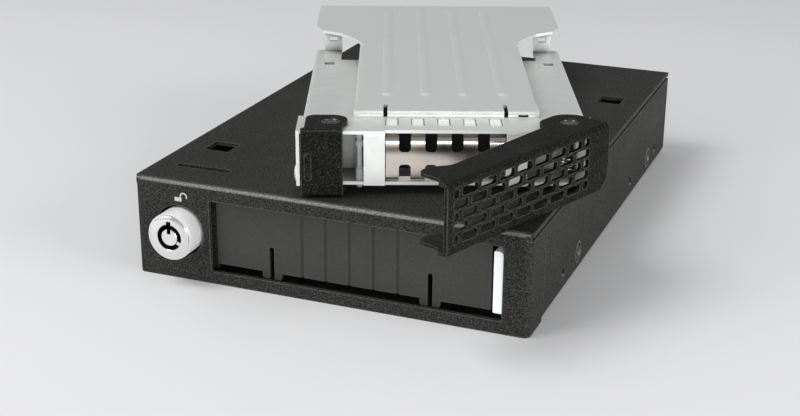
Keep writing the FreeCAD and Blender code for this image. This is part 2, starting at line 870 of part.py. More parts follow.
def make_tray_front():
    # The lip, the two shelves that the handle closes round, and the walls and tabs between them.
    half = tray_half_width
    right = half - tray_sheet
    wall = plateau_front + tray_sheet
    lip = bent_sheet([(plateau_front, shelf_height - 0.4), (plateau_front, tray_height),
                      (plateau_front + lip_depth, tray_height)],
                     tray_sheet, [tray_bend], yz_plane(-plateau_half), V(2 * plateau_half, 0, 0))
    shelf = slab([(-half, ear_front, shelf_corner), (right, ear_front, swing_corner),
                  (right, wall, shelf_corner), (-half, wall, 0)],
                 xy_plane(shelf_height - tray_sheet), V(0, 0, tray_sheet))
    lower = slab([(-half, ear_front + 1, shelf_corner), (right, ear_front + 1, swing_corner),
                  (right, plateau_front, shelf_corner), (-half, plateau_front, 0)],
                 xy_plane(lower_shelf), V(0, 0, tray_sheet))
    ear = box(-half, ear_front, lower_shelf, -half + tray_sheet, plateau_front + 0.5, shelf_height)
    cheeks = across([box(plateau_half - tray_sheet, plateau_front, ledge_height - tray_sheet,
                         plateau_half, wall, shelf_height)])
    left_wall = box(-half, plateau_front, lower_shelf, -plateau_half + tray_sheet, wall, shelf_height)
    right_wall = box(plateau_half - tray_sheet, plateau_front, lower_shelf, right, wall, shelf_height)
    pieces = [lip, shelf, lower, ear, left_wall, right_wall] + cheeks
    for start in (vent_left - vent_gap - tab_width, vent_right + vent_gap):
        upright = [(shelf_front, lower_shelf), (shelf_front, shelf_height), (shelf_front + 3, shelf_height)]
        pieces.append(bent_sheet(upright, tray_sheet, [tray_bend], yz_plane(start), V(tab_width, 0, 0)))
    return fuse(pieces)


def tray_front_cuts():
    cuts = [box(vent_left - vent_gap, 0, shelf_height - 2 * tray_sheet,
                vent_right + vent_gap, shelf_front + 0.6, shelf_height + 1)]
    for index in range(shelf_window_count):
        middle = vent_centre + (index - (shelf_window_count - 1) / 2) * vent_pitch
        left = middle - shelf_window_width / 2
        cuts.append(box(left, shelf_window_front, shelf_height - 2 * tray_sheet,
                        left + shelf_window_width, shelf_window_rear, shelf_height + 0.3))
    slit = lip_slit_width / 2
    for centre in lip_slits:
        cuts.append(box(centre - slit, plateau_front - 1, shelf_height,
                        centre + slit, lip_slit_rear, tray_height + 1))
    slot = lip_slot_width / 2
    cuts.append(box(lip_slot_u - slot, plateau_front - 1, lip_slot_w,
                    lip_slot_u + slot, plateau_front + 1.5 * tray_sheet, lip_slot_w + lip_slot_height))
    for pivot_u in (handle_pivot_u, latch_pivot_u):
        cuts.append(cylinder(pivot_pin_radius, V(pivot_u, pivot_v, 0), V(pivot_u, pivot_v, tray_height)))
    pipe_foot = V(light_pipe_u, ear_front + light_pipe_setback, 0)
    cuts.append(cylinder(light_pipe_radius, pipe_foot, pipe_foot + V(0, 0, shelf_height / 2)))
    return cuts


def make_tray_frame():
    pieces = [make_hat(), make_wing(), make_tray_front()]
    for place in bead_places:
        pieces.append(make_bead(place))
    return fuse(pieces).cut(tray_front_cuts())


def make_vent_plate():
    top = shelf_height - tray_sheet - 0.2
    low = lower_shelf + tray_sheet
    profile = [(vent_front + vent_low_reach, low), (vent_front, low), (vent_front, top),
               (vent_front + vent_top_reach, top)]
    plate = bent_sheet(profile, vent_sheet, [tray_bend, vent_bend], yz_plane(vent_left),
                       V(vent_right - vent_left, 0, 0))
    ahead = xz_plane(vent_front - 1)
    cuts = []
    for index in range(vent_slot_count):
        centre = vent_centre + (index - (vent_slot_count - 1) / 2) * vent_pitch
        left = centre - vent_slot_width / 2
        right = centre + vent_slot_width / 2
        front_slot = slab([(left, vent_top_row, vent_slot_corner), (right, vent_top_row, vent_slot_corner),
                           (right, top + 1, 0), (left, top + 1, 0)], ahead, V(0, vent_slot_reach, 0))
        low_slot = slab([(left, low - 1, 0), (right, low - 1, 0), (right, vent_low_row, vent_slot_corner),
                         (left, vent_low_row, vent_slot_corner)], ahead, V(0, vent_slot_reach / 2, 0))
        cuts += [front_slot, low_slot]
    return plate.cut(cuts)


def make_tray_light_pipe():
    low = lower_shelf + tray_sheet
    high = shelf_height - tray_sheet
    collar = light_pipe_radius + 0.5
    lengths = [(light_pipe_radius, light_pipe_tip, high), (light_pipe_radius + 0.3, low, low + 3.0),
               (collar, high - 3.4, high - 2.2), (collar, high - 1.0, high)]
    steps = []
    for radius, start, end in lengths:
        place = V(light_pipe_u, ear_front + light_pipe_setback, start)
        steps.append(cylinder(radius, place, place + V(0, 0, end - start)))
    return fuse(steps)


def handle_outline():
    free = handle_free_end
    hinge = handle_hinge_end
    lobe = handle_lobe
    lobe_left = handle_pivot_u - lobe
    return [(hinge, 0, 0.6), (hinge, pivot_v + lobe, lobe - 0.1), (lobe_left, pivot_v + lobe, lobe - 0.6),
            (lobe_left - 2.0, 9.6, 2.0), (free + 10.4, 7.9, 3.0), (free + 6.0, 10.6, 2.2),
            (free + 1.9, 10.4, 2.2), (free + 1.9, 4.0, 1.6), (free, 2.6, 1.0), (free, 0, 0.3)]


def latch_outline():
    left = latch_left
    right = latch_right
    back = pivot_v + latch_lobe
    return [(right, 0, 0.5), (left, 0, 0.5), (left, 1.4, 0.4), (left + 0.8, 2.2, 0.6),
            (left + 0.8, back, 2.4), (right + 0.9, back, 3.6), (right + 0.9, 6.2, 1.0), (right, 4.6, 1.0)]


def pivot_cuts(pivot_u):
    bore = cylinder(pivot_pin_radius + pivot_fit, V(pivot_u, pivot_v, 0), V(pivot_u, pivot_v, tray_height))
    start = V(pivot_u, pivot_v, flange_high + 0.01)
    sink_depth = V(0, 0, pivot_cone + 0.06)
    sink = cone(pivot_head + pivot_fit + 0.02, pivot_pin_radius + pivot_fit, start, start - sink_depth)
    return [bore, sink]


def make_pivot_pin(pivot_u):
    head = V(pivot_u, pivot_v, flange_high - 0.02)
    length = head.z - flange_low - 0.1
    return countersunk(head, V(0, 0, -1), pivot_head, pivot_pin_radius, pivot_cone, length)


def make_pivot_spring(pivot_u):
    base = V(pivot_u, pivot_v, pivot_spring_low)
    wound = coil(pivot_spring_radius, pivot_spring_wire, pivot_spring_turns, base, V(0, 0, 1))
    leg_start = base + V(pivot_spring_radius, 0, pivot_spring_wire)
    leg = cylinder(pivot_spring_leg_radius, leg_start, V(leg_start.x, plateau_front, leg_start.z))
    return fuse([wound, leg])


def handle_slot_shapes():
    slots = []
    margin = handle_slot_pitch - handle_slot_length
    for row in range(handle_row_count):
        middle = handle_top_row - row * handle_row_pitch
        offset = 0.0 if row % 2 == 0 else handle_slot_pitch / 2
        start = handle_slots_start - handle_slot_pitch + 3.1 + offset
        while start < handle_slots_end - 1.2:
            low_s = max(start, handle_slots_start)
            high_s = min(start + handle_slot_length, handle_slots_end)
            if high_s - low_s > margin:
                left = handle_hinge_end - high_s
                right = handle_hinge_end - low_s
                low = middle - handle_slot_height / 2
                high = middle + handle_slot_height / 2
                clip = handle_slot_clip
                corners = [(left + clip, low, 0), (right - clip, low, 0),
                           (right, low + clip, 0), (right, high - clip, 0),
                           (right - clip, high, 0), (left + clip, high, 0),
                           (left, high - clip, 0), (left, low + clip, 0)]
                slots.append(slab(corners, xz_plane(-1), V(0, face_sheet + 2, 0)))
            start += handle_slot_pitch
    return slots


def channel(outline, left, right):
    # A face plate between two flanges of the given outline, with the long edges rounded.
    face = box(left, 0, flange_low + flange_sheet / 2, right, face_sheet, flange_high - flange_sheet / 2)
    top = slab(outline, xy_plane(flange_high - flange_sheet), V(0, 0, flange_sheet))
    bottom = slab(outline, xy_plane(flange_low), V(0, 0, flange_sheet))
    return fuse([face, top, bottom])


def front_rounding(radius, w_edge, inward):
    # What a rounded front edge takes off, for the edge at height w_edge; inward is 1 upward or -1 downward.
    w_centre = w_edge + inward * radius
    low = min(w_edge - inward, w_centre)
    high = max(w_edge - inward, w_centre)
    corner = box(-tray_half_width, -1, low, tray_half_width, radius, high)
    reach = tray_half_width + 1
    return corner.cut(cylinder(radius, V(-reach, radius, w_centre), V(reach, radius, w_centre)))


def make_tray_handle():
    handle = channel(handle_outline(), handle_free_end, handle_hinge_end)
    hinge = handle_hinge_end
    cut = handle_corner_cut
    notch = slab([(hinge - cut, flange_low - 1, 0), (hinge + 1, flange_low - 1, 0),
                  (hinge + 1, flange_low + cut + 1, 0), (hinge, flange_low + cut, 0),
                  (hinge - cut, flange_low, 0)], xz_plane(-1), V(0, face_sheet + 1, 0))
    rounding = [front_rounding(handle_rounding, flange_high, -1),
                front_rounding(handle_rounding / 2, flange_low, 1)]
    handle = handle.cut(handle_slot_shapes() + pivot_cuts(handle_pivot_u) + rounding + [notch])
    handle.rotate(V(handle_pivot_u, pivot_v, 0), V(0, 0, 1), handle_open_turn)
    return handle


def make_release_latch():
    latch = channel(latch_outline(), latch_left, latch_right)
    latch = latch.cut([front_rounding(latch_rounding, flange_high, -1),
                       front_rounding(latch_rounding, flange_low, 1)])
    grip = slab([(grip_left, grip_low, 0.7), (grip_left + grip_width, grip_low, 0.7),
                 (grip_left + grip_width, grip_high, 0.7), (grip_left, grip_high, 0.7)],
                xz_plane(-grip_rise), V(0, grip_rise + 0.3, 0))
    return latch.fuse(grip).removeSplitter().cut(pivot_cuts(latch_pivot_u))


def on_cage(shape):
    placed = shape.copy()
    turn = FreeCAD.Rotation(V(0, 0, 1), tray_turn)
    placed.Placement = FreeCAD.Placement(V(tray_x, tray_y, cage_height), turn).multiply(placed.Placement)
    return placed


def collect():
    cage = {
        "cover": make_cover(),
        "base_pan": make_base_pan(),
        "lock_bracket": make_lock_bracket(),
        "lock_body": make_lock_body(),
        "lock_nut": make_lock_nut(),
        "lock_plug": make_lock_plug(),
        "lock_cam": make_lock_cam(),
        "cam_screw": make_cam_screw(),
        "door_flap": make_door_flap(),
        "door_pin": make_door_pin(),
        "door_spring": make_door_spring(),
        "left_guide_rail": make_guide_rail(-1),
        "right_guide_rail": make_guide_rail(1),
        "light_guide": make_light_guide(),
        "status_led": make_status_led(),
        "backplane_board": make_board(),
        "drive_socket": make_drive_socket(),
        "data_port": make_port(data_port_x, data_port_width),
        "power_port": make_port(power_port_x, power_port_width),
        "case_screws": Part.Compound(case_screw_shapes(0)),
        "board_screws": make_board_screws(),
        "rail_screws": make_rail_screws(),
    }
    tray = {
        "tray_frame": make_tray_frame(),
        "vent_plate": make_vent_plate(),
        "tray_light_pipe": make_tray_light_pipe(),
        "handle_pivot_pin": make_pivot_pin(handle_pivot_u),
        "latch_pivot_pin": make_pivot_pin(latch_pivot_u),
        "handle_spring": make_pivot_spring(handle_pivot_u),
        "latch_spring": make_pivot_spring(latch_pivot_u),
        "tray_handle": make_tray_handle(),
        "release_latch": make_release_latch(),
    }
    parts = dict(cage)
    for name, shape in tray.items():
        parts[name] = on_cage(shape)
    return parts


os.makedirs("parts", exist_ok=True)
to_middle = V(0, -cage_depth / 2, 0)
for name, shape in collect().items():
    shape.translate(to_middle)
    for solid in shape.Solids:
        if not solid.isValid():
            print(name, "has an invalid solid")
    print(name, len(shape.Solids), round(shape.Volume, 1))
    shape.exportStep("parts/" + name + ".step")
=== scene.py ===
import bpy
import bmesh
from math import cos, pi, radians, sin
from mathutils import Matrix, Vector


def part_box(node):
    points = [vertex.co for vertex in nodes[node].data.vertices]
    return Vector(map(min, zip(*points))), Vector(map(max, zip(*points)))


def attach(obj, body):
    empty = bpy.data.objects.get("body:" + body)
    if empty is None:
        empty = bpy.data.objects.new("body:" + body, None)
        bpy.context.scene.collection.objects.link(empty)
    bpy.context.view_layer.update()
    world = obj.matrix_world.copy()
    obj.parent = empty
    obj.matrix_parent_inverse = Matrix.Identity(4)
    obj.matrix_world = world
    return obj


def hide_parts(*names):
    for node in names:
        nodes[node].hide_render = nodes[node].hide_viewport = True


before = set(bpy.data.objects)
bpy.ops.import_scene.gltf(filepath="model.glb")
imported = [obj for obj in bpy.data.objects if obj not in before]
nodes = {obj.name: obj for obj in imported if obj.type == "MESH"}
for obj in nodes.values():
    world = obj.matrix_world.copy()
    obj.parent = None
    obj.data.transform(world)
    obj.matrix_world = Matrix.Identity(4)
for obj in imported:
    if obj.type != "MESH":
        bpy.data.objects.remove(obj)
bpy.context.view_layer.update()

bpy.ops.object.select_all(action="DESELECT")

# Viewpoint: the camera stands in front of the cage and to its right, a little above it.
# Its place, turn and lens were fitted to the cage's corners, 101.6 mm apart in front.
yaw = -0.376681
pitch = 0.368451
roll = 0.00679
eye = Vector((0.131399, -0.355317, 0.144963))
forward = Vector((sin(yaw) * cos(pitch), cos(yaw) * cos(pitch), -sin(pitch)))
level = Vector((cos(yaw), -sin(yaw), 0.0))
plumb = level.cross(forward)
across = level * cos(roll) + plumb * sin(roll)
upward = plumb * cos(roll) - level * sin(roll)
camera_data = bpy.data.cameras.new("viewpoint")
camera_data.sensor_width = 36.0
camera_data.lens = 64.68
camera_data.clip_start = 0.01
camera = bpy.data.objects.new("viewpoint", camera_data)
camera.matrix_world = Matrix((
    (across.x, upward.x, -forward.x, eye.x),
    (across.y, upward.y, -forward.y, eye.y),
    (across.z, upward.z, -forward.z, eye.z),
    (0.0, 0.0, 0.0, 1.0)))
bpy.context.scene.collection.objects.link(camera)
bpy.context.scene.camera = camera
bpy.context.scene.view_settings.view_transform = "Standard"


# Studio: a pale table top, an even pale surround and four soft lamps.
# Together they light an upward face at about the level at which its colour is written.
def add(tree, kind, sockets=None, **settings):
    # Adds a shader node, and links its sockets or gives them their values.
    made = tree.nodes.new("ShaderNode" + kind)
    for name, value in settings.items():
        setattr(made, name, value)
    for name, value in (sockets or {}).items():
        if isinstance(value, bpy.types.NodeSocket):
            tree.links.new(value, made.inputs[name])
        else:
            made.inputs[name].default_value = value
    return made


def start_finish(name):
    # A new material, with its tree, its shader and the place that its patterns read.
    finish = bpy.data.materials.new(name)
    finish.use_nodes = True
    tree = finish.node_tree
    return finish, tree, tree.nodes["Principled BSDF"], add(tree, "TexCoord").outputs["Object"]


def noise(tree, place, scale, detail, roughness=0.5, distortion=0.0):
    # A cloudy pattern, with about that many grains to the metre.
    made = add(tree, "TexNoise", {"Vector": place, "Scale": scale, "Detail": detail,
                                  "Roughness": roughness, "Distortion": distortion})
    return made.outputs["Fac"]


def mix(tree, factor, first, second):
    # Goes from the first colour to the second as the factor goes from 0 to 1.
    blend = add(tree, "Mix", {"Factor": factor, "A": first, "B": second}, data_type="RGBA")
    return blend.outputs["Result"]


surround = bpy.data.worlds.new("surround")
surround.use_nodes = True
sky = surround.node_tree.nodes["Background"]
sky.inputs["Color"].default_value = (0.97, 0.98, 1.0, 1.0)
sky.inputs["Strength"].default_value = 0.36
bpy.context.scene.world = surround

table_width = 6.0
table_below = 0.00002
bpy.ops.mesh.primitive_plane_add(size=table_width, location=(0.0, 0.0, -table_below))
table_top = bpy.context.object
table_top.name = "table_top"
pale, tree, shader, place = start_finish("pale_table")
tint = mix(tree, noise(tree, place, scale=6.0, detail=3.0),
           (0.78, 0.78, 0.78, 1.0), (0.82, 0.82, 0.83, 1.0))
tree.links.new(tint, shader.inputs["Base Color"])
shader.inputs["Roughness"].default_value = 0.55
table_top.data.materials.append(pale)

for name, spot, aim, size, power in (
        ("lamp_above", (-0.40, -0.30, 0.80), (0.0, 0.0, 0.03), 0.45, 3.8),
        ("lamp_left", (-0.60, -0.70, 0.42), (0.0, -0.03, 0.02), 0.5, 2.7),
        ("lamp_front", (0.42, -0.85, 0.12), (0.02, -0.05, 0.03), 0.35, 2.8),
        ("lamp_side", (0.80, -0.15, 0.24), (0.0, 0.0, 0.02), 0.5, 3.9)):
    lamp_data = bpy.data.lights.new(name, "AREA")
    lamp_data.shape = "SQUARE"
    lamp_data.size = size
    lamp_data.energy = power
    lamp = bpy.data.objects.new(name, lamp_data)
    lamp.location = spot
    lamp.rotation_mode = "QUATERNION"
    lamp.rotation_quaternion = (Vector(aim) - Vector(spot)).to_track_quat("-Z", "Y")
    bpy.context.scene.collection.objects.link(lamp)


# Cage: cover with its front panel and roof, base pan with its side walls, lock bracket.
# Folded 1 mm steel sheet with a baked black powder coat. Light flecks in its fine orange peel are
# painted glints. Its edges show wear a shade lighter, and the folds carry a painted highlight.
def remap(tree, value, low, high, start=0.0, end=1.0, **settings):
    # Goes from start to end as the value goes from low to high, and stays there outside.
    made = add(tree, "MapRange", {"Value": value, "From Min": low, "From Max": high,
                                  "To Min": start, "To Max": end}, **settings)
    return made.outputs["Result"]


def calculate(tree, operation, first, second):
    # Works out one number from two.
    return add(tree, "Math", {0: first, 1: second}, operation=operation).outputs[0]


def emboss(tree, shader, pattern, strength, depth):
    # Gives the surface a fine relief.
    bump = add(tree, "Bump", {"Height": pattern, "Strength": strength, "Distance": depth})
    tree.links.new(bump.outputs["Normal"], shader.inputs["Normal"])


def edge_wear(tree, reach=0.0006):
    # 0 on a flat face and 1 at an edge, where the rounded normal turns away.
    rounded = add(tree, "Bevel", {"Radius": reach}, samples=6)
    flat = add(tree, "NewGeometry")
    turn = add(tree, "VectorMath", {0: rounded.outputs["Normal"],
                                    1: flat.outputs["True Normal"]}, operation="DOT_PRODUCT")
    return remap(tree, turn.outputs["Value"], 0.985, 0.80)


def powder_coat(name, dark, light, wear_and_glint, fold_highlight, grain, relief, gloss, sparkle, shine):
    # Wear colour: painted glints and edge wear. Fold colour: a painted highlight on front-top
    # bends.
    coat, tree, shader, place = start_finish(name)
    peel = noise(tree, place, scale=grain, detail=2.0, roughness=0.6)
    glint_noise = noise(tree, place, scale=grain * 1.7, detail=1.0)
    cloud = noise(tree, place, scale=38.0, detail=5.0, roughness=0.6)
    mottled = mix(tree, remap(tree, peel, 0.38, 0.64), dark, light)
    # Sparse light flecks of the wear colour are painted glints.
    with_painted_glints = mix(tree, remap(tree, glint_noise, 0.60, 0.74, 0.0, sparkle), mottled, wear_and_glint)
    patchy = calculate(tree, "MULTIPLY", edge_wear(tree), peel)
    scuffed = mix(tree, patchy, with_painted_glints, wear_and_glint)
    # A painted highlight on faces that turn both forward and up, the bends between front and top.
    facing = add(tree, "SeparateXYZ", {"Vector": add(tree, "TexCoord").outputs["Normal"]})
    tilt = calculate(tree, "MULTIPLY", facing.outputs["Y"], facing.outputs["Z"])
    highlight_on_bends = calculate(tree, "MULTIPLY", remap(tree, tilt, -0.36, -0.49),
                       remap(tree, glint_noise, 0.36, 0.62, 0.35, 1.0))
    tree.links.new(mix(tree, highlight_on_bends, scuffed, fold_highlight), shader.inputs["Base Color"])
    haze = remap(tree, cloud, 0.3, 0.7, gloss - 0.05, gloss + 0.07)
    tree.links.new(haze, shader.inputs["Roughness"])
    emboss(tree, shader, peel, relief, 0.00008)
    shader.inputs["Specular IOR Level"].default_value = shine
    return coat


def dress(names, material):
    # Gives the CAD nodes of those names their finish.
    for name in names:
        node = nodes[name]
        node.data.materials.clear()
        node.data.materials.append(material)


cage_coat = powder_coat("cage_powder_coat", dark=(0.013, 0.013, 0.012, 1.0),
                        light=(0.047, 0.047, 0.044, 1.0), wear_and_glint=(0.17, 0.17, 0.165, 1.0),
                        fold_highlight=(0.27, 0.27, 0.25, 1.0), grain=2200.0, relief=0.6, gloss=0.52,
                        sparkle=0.45, shine=0.05)
dress(("cover", "base_pan", "lock_bracket"), cage_coat)


# Unlock sign: a small open padlock above the key lock, which shows the lock's open position.
# Printed on the powder coat in light grey ink, a few hundredths of a millimetre thick.
# Sizes are in millimetres from here on, and front is where the front panel's face stands.
mm = 0.001
front = -71.75


def at(x, y, z):
    # A shift by so many millimetres.
    return Matrix.Translation((x * mm, y * mm, z * mm))


def choose(piece, kind, wanted):
    # In edit mode, selects just the vertices, edges or faces that are wanted.
    bpy.ops.mesh.select_mode(type=kind)
    bpy.ops.mesh.select_all(action="DESELECT")
    mesh = bmesh.from_edit_mesh(piece.data)
    for one in {"VERT": mesh.verts, "EDGE": mesh.edges, "FACE": mesh.faces}[kind]:
        if wanted(one):
            one.select_set(True)
    bmesh.update_edit_mesh(piece.data)


def extrude(shift):
    # Draws out what is selected.
    bpy.ops.mesh.extrude_region_move(TRANSFORM_OT_translate={"value": shift})


def face_outward():
    # Turns every face of the piece outward.
    bpy.ops.mesh.select_all(action="SELECT")
    bpy.ops.mesh.normals_make_consistent(inside=False)


def seat(piece, name, place, materials, body, crease=35.0):
    # Puts a finished piece in its place on the part, with its place in its mesh.
    if bpy.context.mode != "OBJECT":
        bpy.ops.object.mode_set(mode="OBJECT")
    bpy.ops.object.select_all(action="DESELECT")
    piece.select_set(True)
    bpy.context.view_layer.objects.active = piece
    bpy.ops.object.transform_apply(location=True, rotation=True, scale=True)
    piece.data.transform(place)
    piece.name = name
    piece.data.name = name
    for material in materials:
        piece.data.materials.append(material)
    bpy.ops.object.shade_smooth_by_angle(angle=radians(crease))
    bpy.ops.object.select_all(action="DESELECT")
    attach(piece, body)
    return piece


ink, tree, shader, place = start_finish("grey_ink")
tone = mix(tree, noise(tree, place, scale=5200.0, detail=2.0),
           (0.62, 0.62, 0.60, 1.0), (0.42, 0.42, 0.41, 1.0))
tree.links.new(tone, shader.inputs["Base Color"])
shader.inputs["Roughness"].default_value = 0.55

case_x, case_z, case_width = -38.75, 20.9, 1.9
shackle_x, shackle_top, shackle_width, shackle_radius = -38.1, 21.74, 0.34, 0.85
bpy.ops.mesh.primitive_plane_add(size=1.0 * mm, location=(case_x * mm, case_z * mm, 0.0))
sign = bpy.context.object
bpy.ops.object.transform_apply(location=True, rotation=False, scale=False)
bpy.ops.object.mode_set(mode="EDIT")
bpy.ops.transform.resize(value=(case_width, 1.0, 1.0))
bpy.ops.mesh.select_all(action="DESELECT")
bpy.ops.mesh.primitive_plane_add(
    size=shackle_width * mm,
    location=(shackle_x * mm, (shackle_top - shackle_width / 2) * mm, 0.0))
choose(sign, "EDGE", lambda edge: all(corner.co.y > (shackle_top - 0.01) * mm
                                      for corner in edge.verts))
bpy.ops.mesh.spin(steps=14, angle=pi, axis=(0.0, 0.0, 1.0),
                  center=((shackle_x + shackle_radius) * mm, shackle_top * mm, 0.0))
extrude((0.0, -0.4 * mm, 0.0))
bpy.ops.mesh.select_all(action="SELECT")
bpy.ops.mesh.remove_doubles(threshold=0.01 * mm)
extrude((0.0, 0.0, 0.03 * mm))
face_outward()
seat(sign, "unlock_sign", at(0.0, front, 0.0) @ Matrix.Rotation(pi / 2, 4, "X"), [ink], "cage")


# Weld beads: the two top corners of the front, where the cover's bends would meet.
# Filled, ground round and coated with the rest, so no gap shows there.
def block(width, height, thick, base=0.0):
    # A block that stands on the plane z = base, open for edit.
    bpy.ops.object.select_all(action="DESELECT")
    bpy.ops.mesh.primitive_cube_add(size=1.0, location=(0.0, 0.0, (base + thick / 2) * mm))
    made = bpy.context.object
    made.scale = (width * mm, height * mm, thick * mm)
    bpy.ops.object.transform_apply(location=True, rotation=True, scale=True)
    bpy.ops.object.mode_set(mode="EDIT")
    return made


bead_height = 1.9
for side, name in ((-1, "corner_weld_left"), (1, "corner_weld_right")):
    bead = block(1.15, 1.15, bead_height, base=-bead_height / 2)
    choose(bead, "EDGE", lambda edge: all(corner.co.z > 0.0 and corner.co.y < 0.0
                                          for corner in edge.verts))
    bpy.ops.mesh.bevel(offset=0.9 * mm, segments=5)
    choose(bead, "EDGE", lambda edge: all(corner.co.x * side > 0.5 * mm for corner in edge.verts)
           and any(face.normal.y < -0.1 or face.normal.z > 0.1 for face in edge.link_faces))
    bpy.ops.mesh.bevel(offset=0.35 * mm, segments=3)
    seat(bead, name, at(side * 49.85, front + 0.67, 24.38), [cage_coat], "cage")


# Door flap: thinner steel sheet with pressed upright grooves, hinged at its top edge.
# Its black enamel is smoother than the cage's, so it looks satin beside it.
door_coat = powder_coat("door_enamel", dark=(0.045, 0.045, 0.043, 1.0),
                        light=(0.056, 0.056, 0.053, 1.0), wear_and_glint=(0.12, 0.12, 0.12, 1.0),
                        fold_highlight=(0.07, 0.07, 0.07, 1.0), grain=3200.0, relief=0.2, gloss=0.44,
                        sparkle=0.08, shine=0.14)
dress(("door_flap",), door_coat)


# Key lock: barrel and keyed plug, turned from brass and chromed, with a brushed barrel.
# The barrel is clamped in the bracket behind the front panel by a nut on its thread. The key
# fits the ring shaped keyway, and turns the plug by the notch in its post.
lock_x, lock_z = -38.8, 12.7
reach = 5.1
face_radius = 5.35
side_radius = 5.92
neck_radius = 4.9
keyway = 3.25
post = 2.15
shoulder = -5.0
barrel_end = -22.0


def chromed(name, bright, dull, smooth, rough, metallic):
    # The lathe's fine lines run round the lock's axis.
    chrome, tree, shader, place = start_finish(name)
    centred = add(tree, "Mapping", {"Vector": place,
                                    "Location": (-lock_x * mm, 0.0, -lock_z * mm)})
    offset = add(tree, "SeparateXYZ", {"Vector": centred.outputs["Vector"]})
    round_off = add(tree, "CombineXYZ", {"X": offset.outputs["X"], "Z": offset.outputs["Z"]})
    radius = add(tree, "VectorMath", {0: round_off.outputs["Vector"]}, operation="LENGTH")
    turning = add(tree, "CombineXYZ", {"X": radius.outputs["Value"], "Y": offset.outputs["Y"]})
    smear = noise(tree, place, scale=260.0, detail=4.0)
    tree.links.new(mix(tree, smear, bright, dull), shader.inputs["Base Color"])
    tree.links.new(remap(tree, smear, 0.35, 0.75, smooth, rough), shader.inputs["Roughness"])
    lines = noise(tree, turning.outputs["Vector"], scale=9000.0, detail=2.0)
    emboss(tree, shader, lines, 0.06, 0.00002)
    shader.inputs["Metallic"].default_value = metallic
    return chrome


def turn_up(rings):
    # Turns a piece on the lathe: circles of (radius, height), each joined to the next.
    bpy.ops.object.select_all(action="DESELECT")
    radius, height = rings[0]
    bpy.ops.mesh.primitive_circle_add(vertices=96, radius=radius * mm,
                                      location=(0.0, 0.0, height * mm))
    turned = bpy.context.object
    bpy.ops.object.transform_apply(location=True, rotation=False, scale=False)
    bpy.ops.object.mode_set(mode="EDIT")
    bpy.ops.mesh.select_all(action="SELECT")
    for next_radius, next_height in rings[1:]:
        extrude((0.0, 0.0, (next_height - height) * mm))
        bpy.ops.transform.resize(value=(next_radius / radius, next_radius / radius, 1.0))
        radius, height = next_radius, next_height
    bpy.ops.mesh.select_all(action="SELECT")
    bpy.ops.mesh.remove_doubles(threshold=0.0001 * mm)
    bpy.ops.mesh.fill_holes(sides=0)
    face_outward()
    bpy.ops.object.mode_set(mode="OBJECT")
    return turned


def carve(piece, tool, way="DIFFERENCE"):
    # Cuts the tool out of the piece, or welds it on, and takes the tool away.
    if bpy.context.mode != "OBJECT":
        bpy.ops.object.mode_set(mode="OBJECT")
    cut = piece.modifiers.new("cut", "BOOLEAN")
    cut.operation = way
    cut.solver = "EXACT"
    cut.object = tool
    bpy.ops.object.select_all(action="DESELECT")
    piece.select_set(True)
    bpy.context.view_layer.objects.active = piece
    bpy.ops.object.modifier_apply(modifier="cut")
    bpy.data.objects.remove(tool)


def placed_block(width, height, thick, base_centre, turn=0.0):
    # A block with its place in its mesh, turned round the Z axis.
    made = block(width, height, thick)
    bpy.ops.object.mode_set(mode="OBJECT")
    made.data.transform(Matrix.Rotation(turn, 4, "Z") @ at(*base_centre))
    return made


chrome_face = chromed("polished_chrome", (0.86, 0.86, 0.85, 1.0), (0.76, 0.76, 0.77, 1.0),
                      smooth=0.16, rough=0.30, metallic=1.0)
# The barrel's side is brushed, and its near white colour with little metal is a painted
# reflection.
chrome_side = chromed("brushed_chrome", (0.95, 0.95, 0.94, 1.0), (0.88, 0.88, 0.88, 1.0),
                      smooth=0.22, rough=0.34, metallic=0.25)
# Painted shade: near black steel inside the keyway and on the plug's sides, for the deep keyway's
# shade.
keyway_painted_shade = chromed("painted_shade_keyway", (0.030, 0.030, 0.030, 1.0), (0.012, 0.012, 0.012, 1.0),
                      smooth=0.30, rough=0.45, metallic=0.6)
lock_place = at(lock_x, front, lock_z) @ Matrix.Rotation(pi / 2, 4, "X")

barrel = turn_up(((keyway + 0.1, reach), (face_radius - 0.1, reach), (face_radius, reach - 0.06),
                  (face_radius + 0.07, reach - 0.22), (side_radius - 0.12, reach - 0.3),
                  (side_radius, reach - 0.5), (side_radius, shoulder), (neck_radius, shoulder),
                  (neck_radius, barrel_end), (keyway, barrel_end), (keyway, reach - 0.1),
                  (keyway + 0.1, reach)))
key_slot = placed_block(1.2, 4.1, 6.0, (0.0, 2.05, reach - 5.0))
carve(barrel, key_slot)
tooth = placed_block(0.9, 1.3, 4.5, (0.0, 2.9, reach - 4.9), radians(-122.0))
carve(barrel, tooth, "UNION")
for face in barrel.data.polygons:
    off_axis = Vector((face.center.x, face.center.y)).length
    if off_axis > (side_radius - 0.22) * mm and face.center.z > shoulder * mm:
        face.material_index = 1
    elif off_axis < (keyway + 0.02) * mm and face.center.z < (reach - 0.6) * mm:
        face.material_index = 2
seat(barrel, "lock_barrel", lock_place, [chrome_face, chrome_side, keyway_painted_shade], "cage")
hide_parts("lock_body")

plug = turn_up(((post - 0.15, reach), (post, reach - 0.12), (post, reach - 5.0),
                (keyway - 0.08, reach - 5.0), (keyway - 0.08, barrel_end - 0.4)))
square_end = placed_block(3.6, 3.6, 2.9, (0.0, 0.0, barrel_end - 2.9))
carve(plug, square_end, "UNION")
notch = placed_block(1.0, 2.2, 3.0, (0.0, 2.0, reach - 1.6))
carve(plug, notch)
screw_hole = turn_up(((1.0, barrel_end - 3.0), (1.0, barrel_end + 0.6)))
carve(plug, screw_hole)
for face in plug.data.polygons:
    face.material_index = 1 if 0.0 < face.center.z < (reach - 0.3) * mm else 0
seat(plug, "lock_key_plug", lock_place, [chrome_face, keyway_painted_shade], "lock_rotor")
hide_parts("lock_plug")


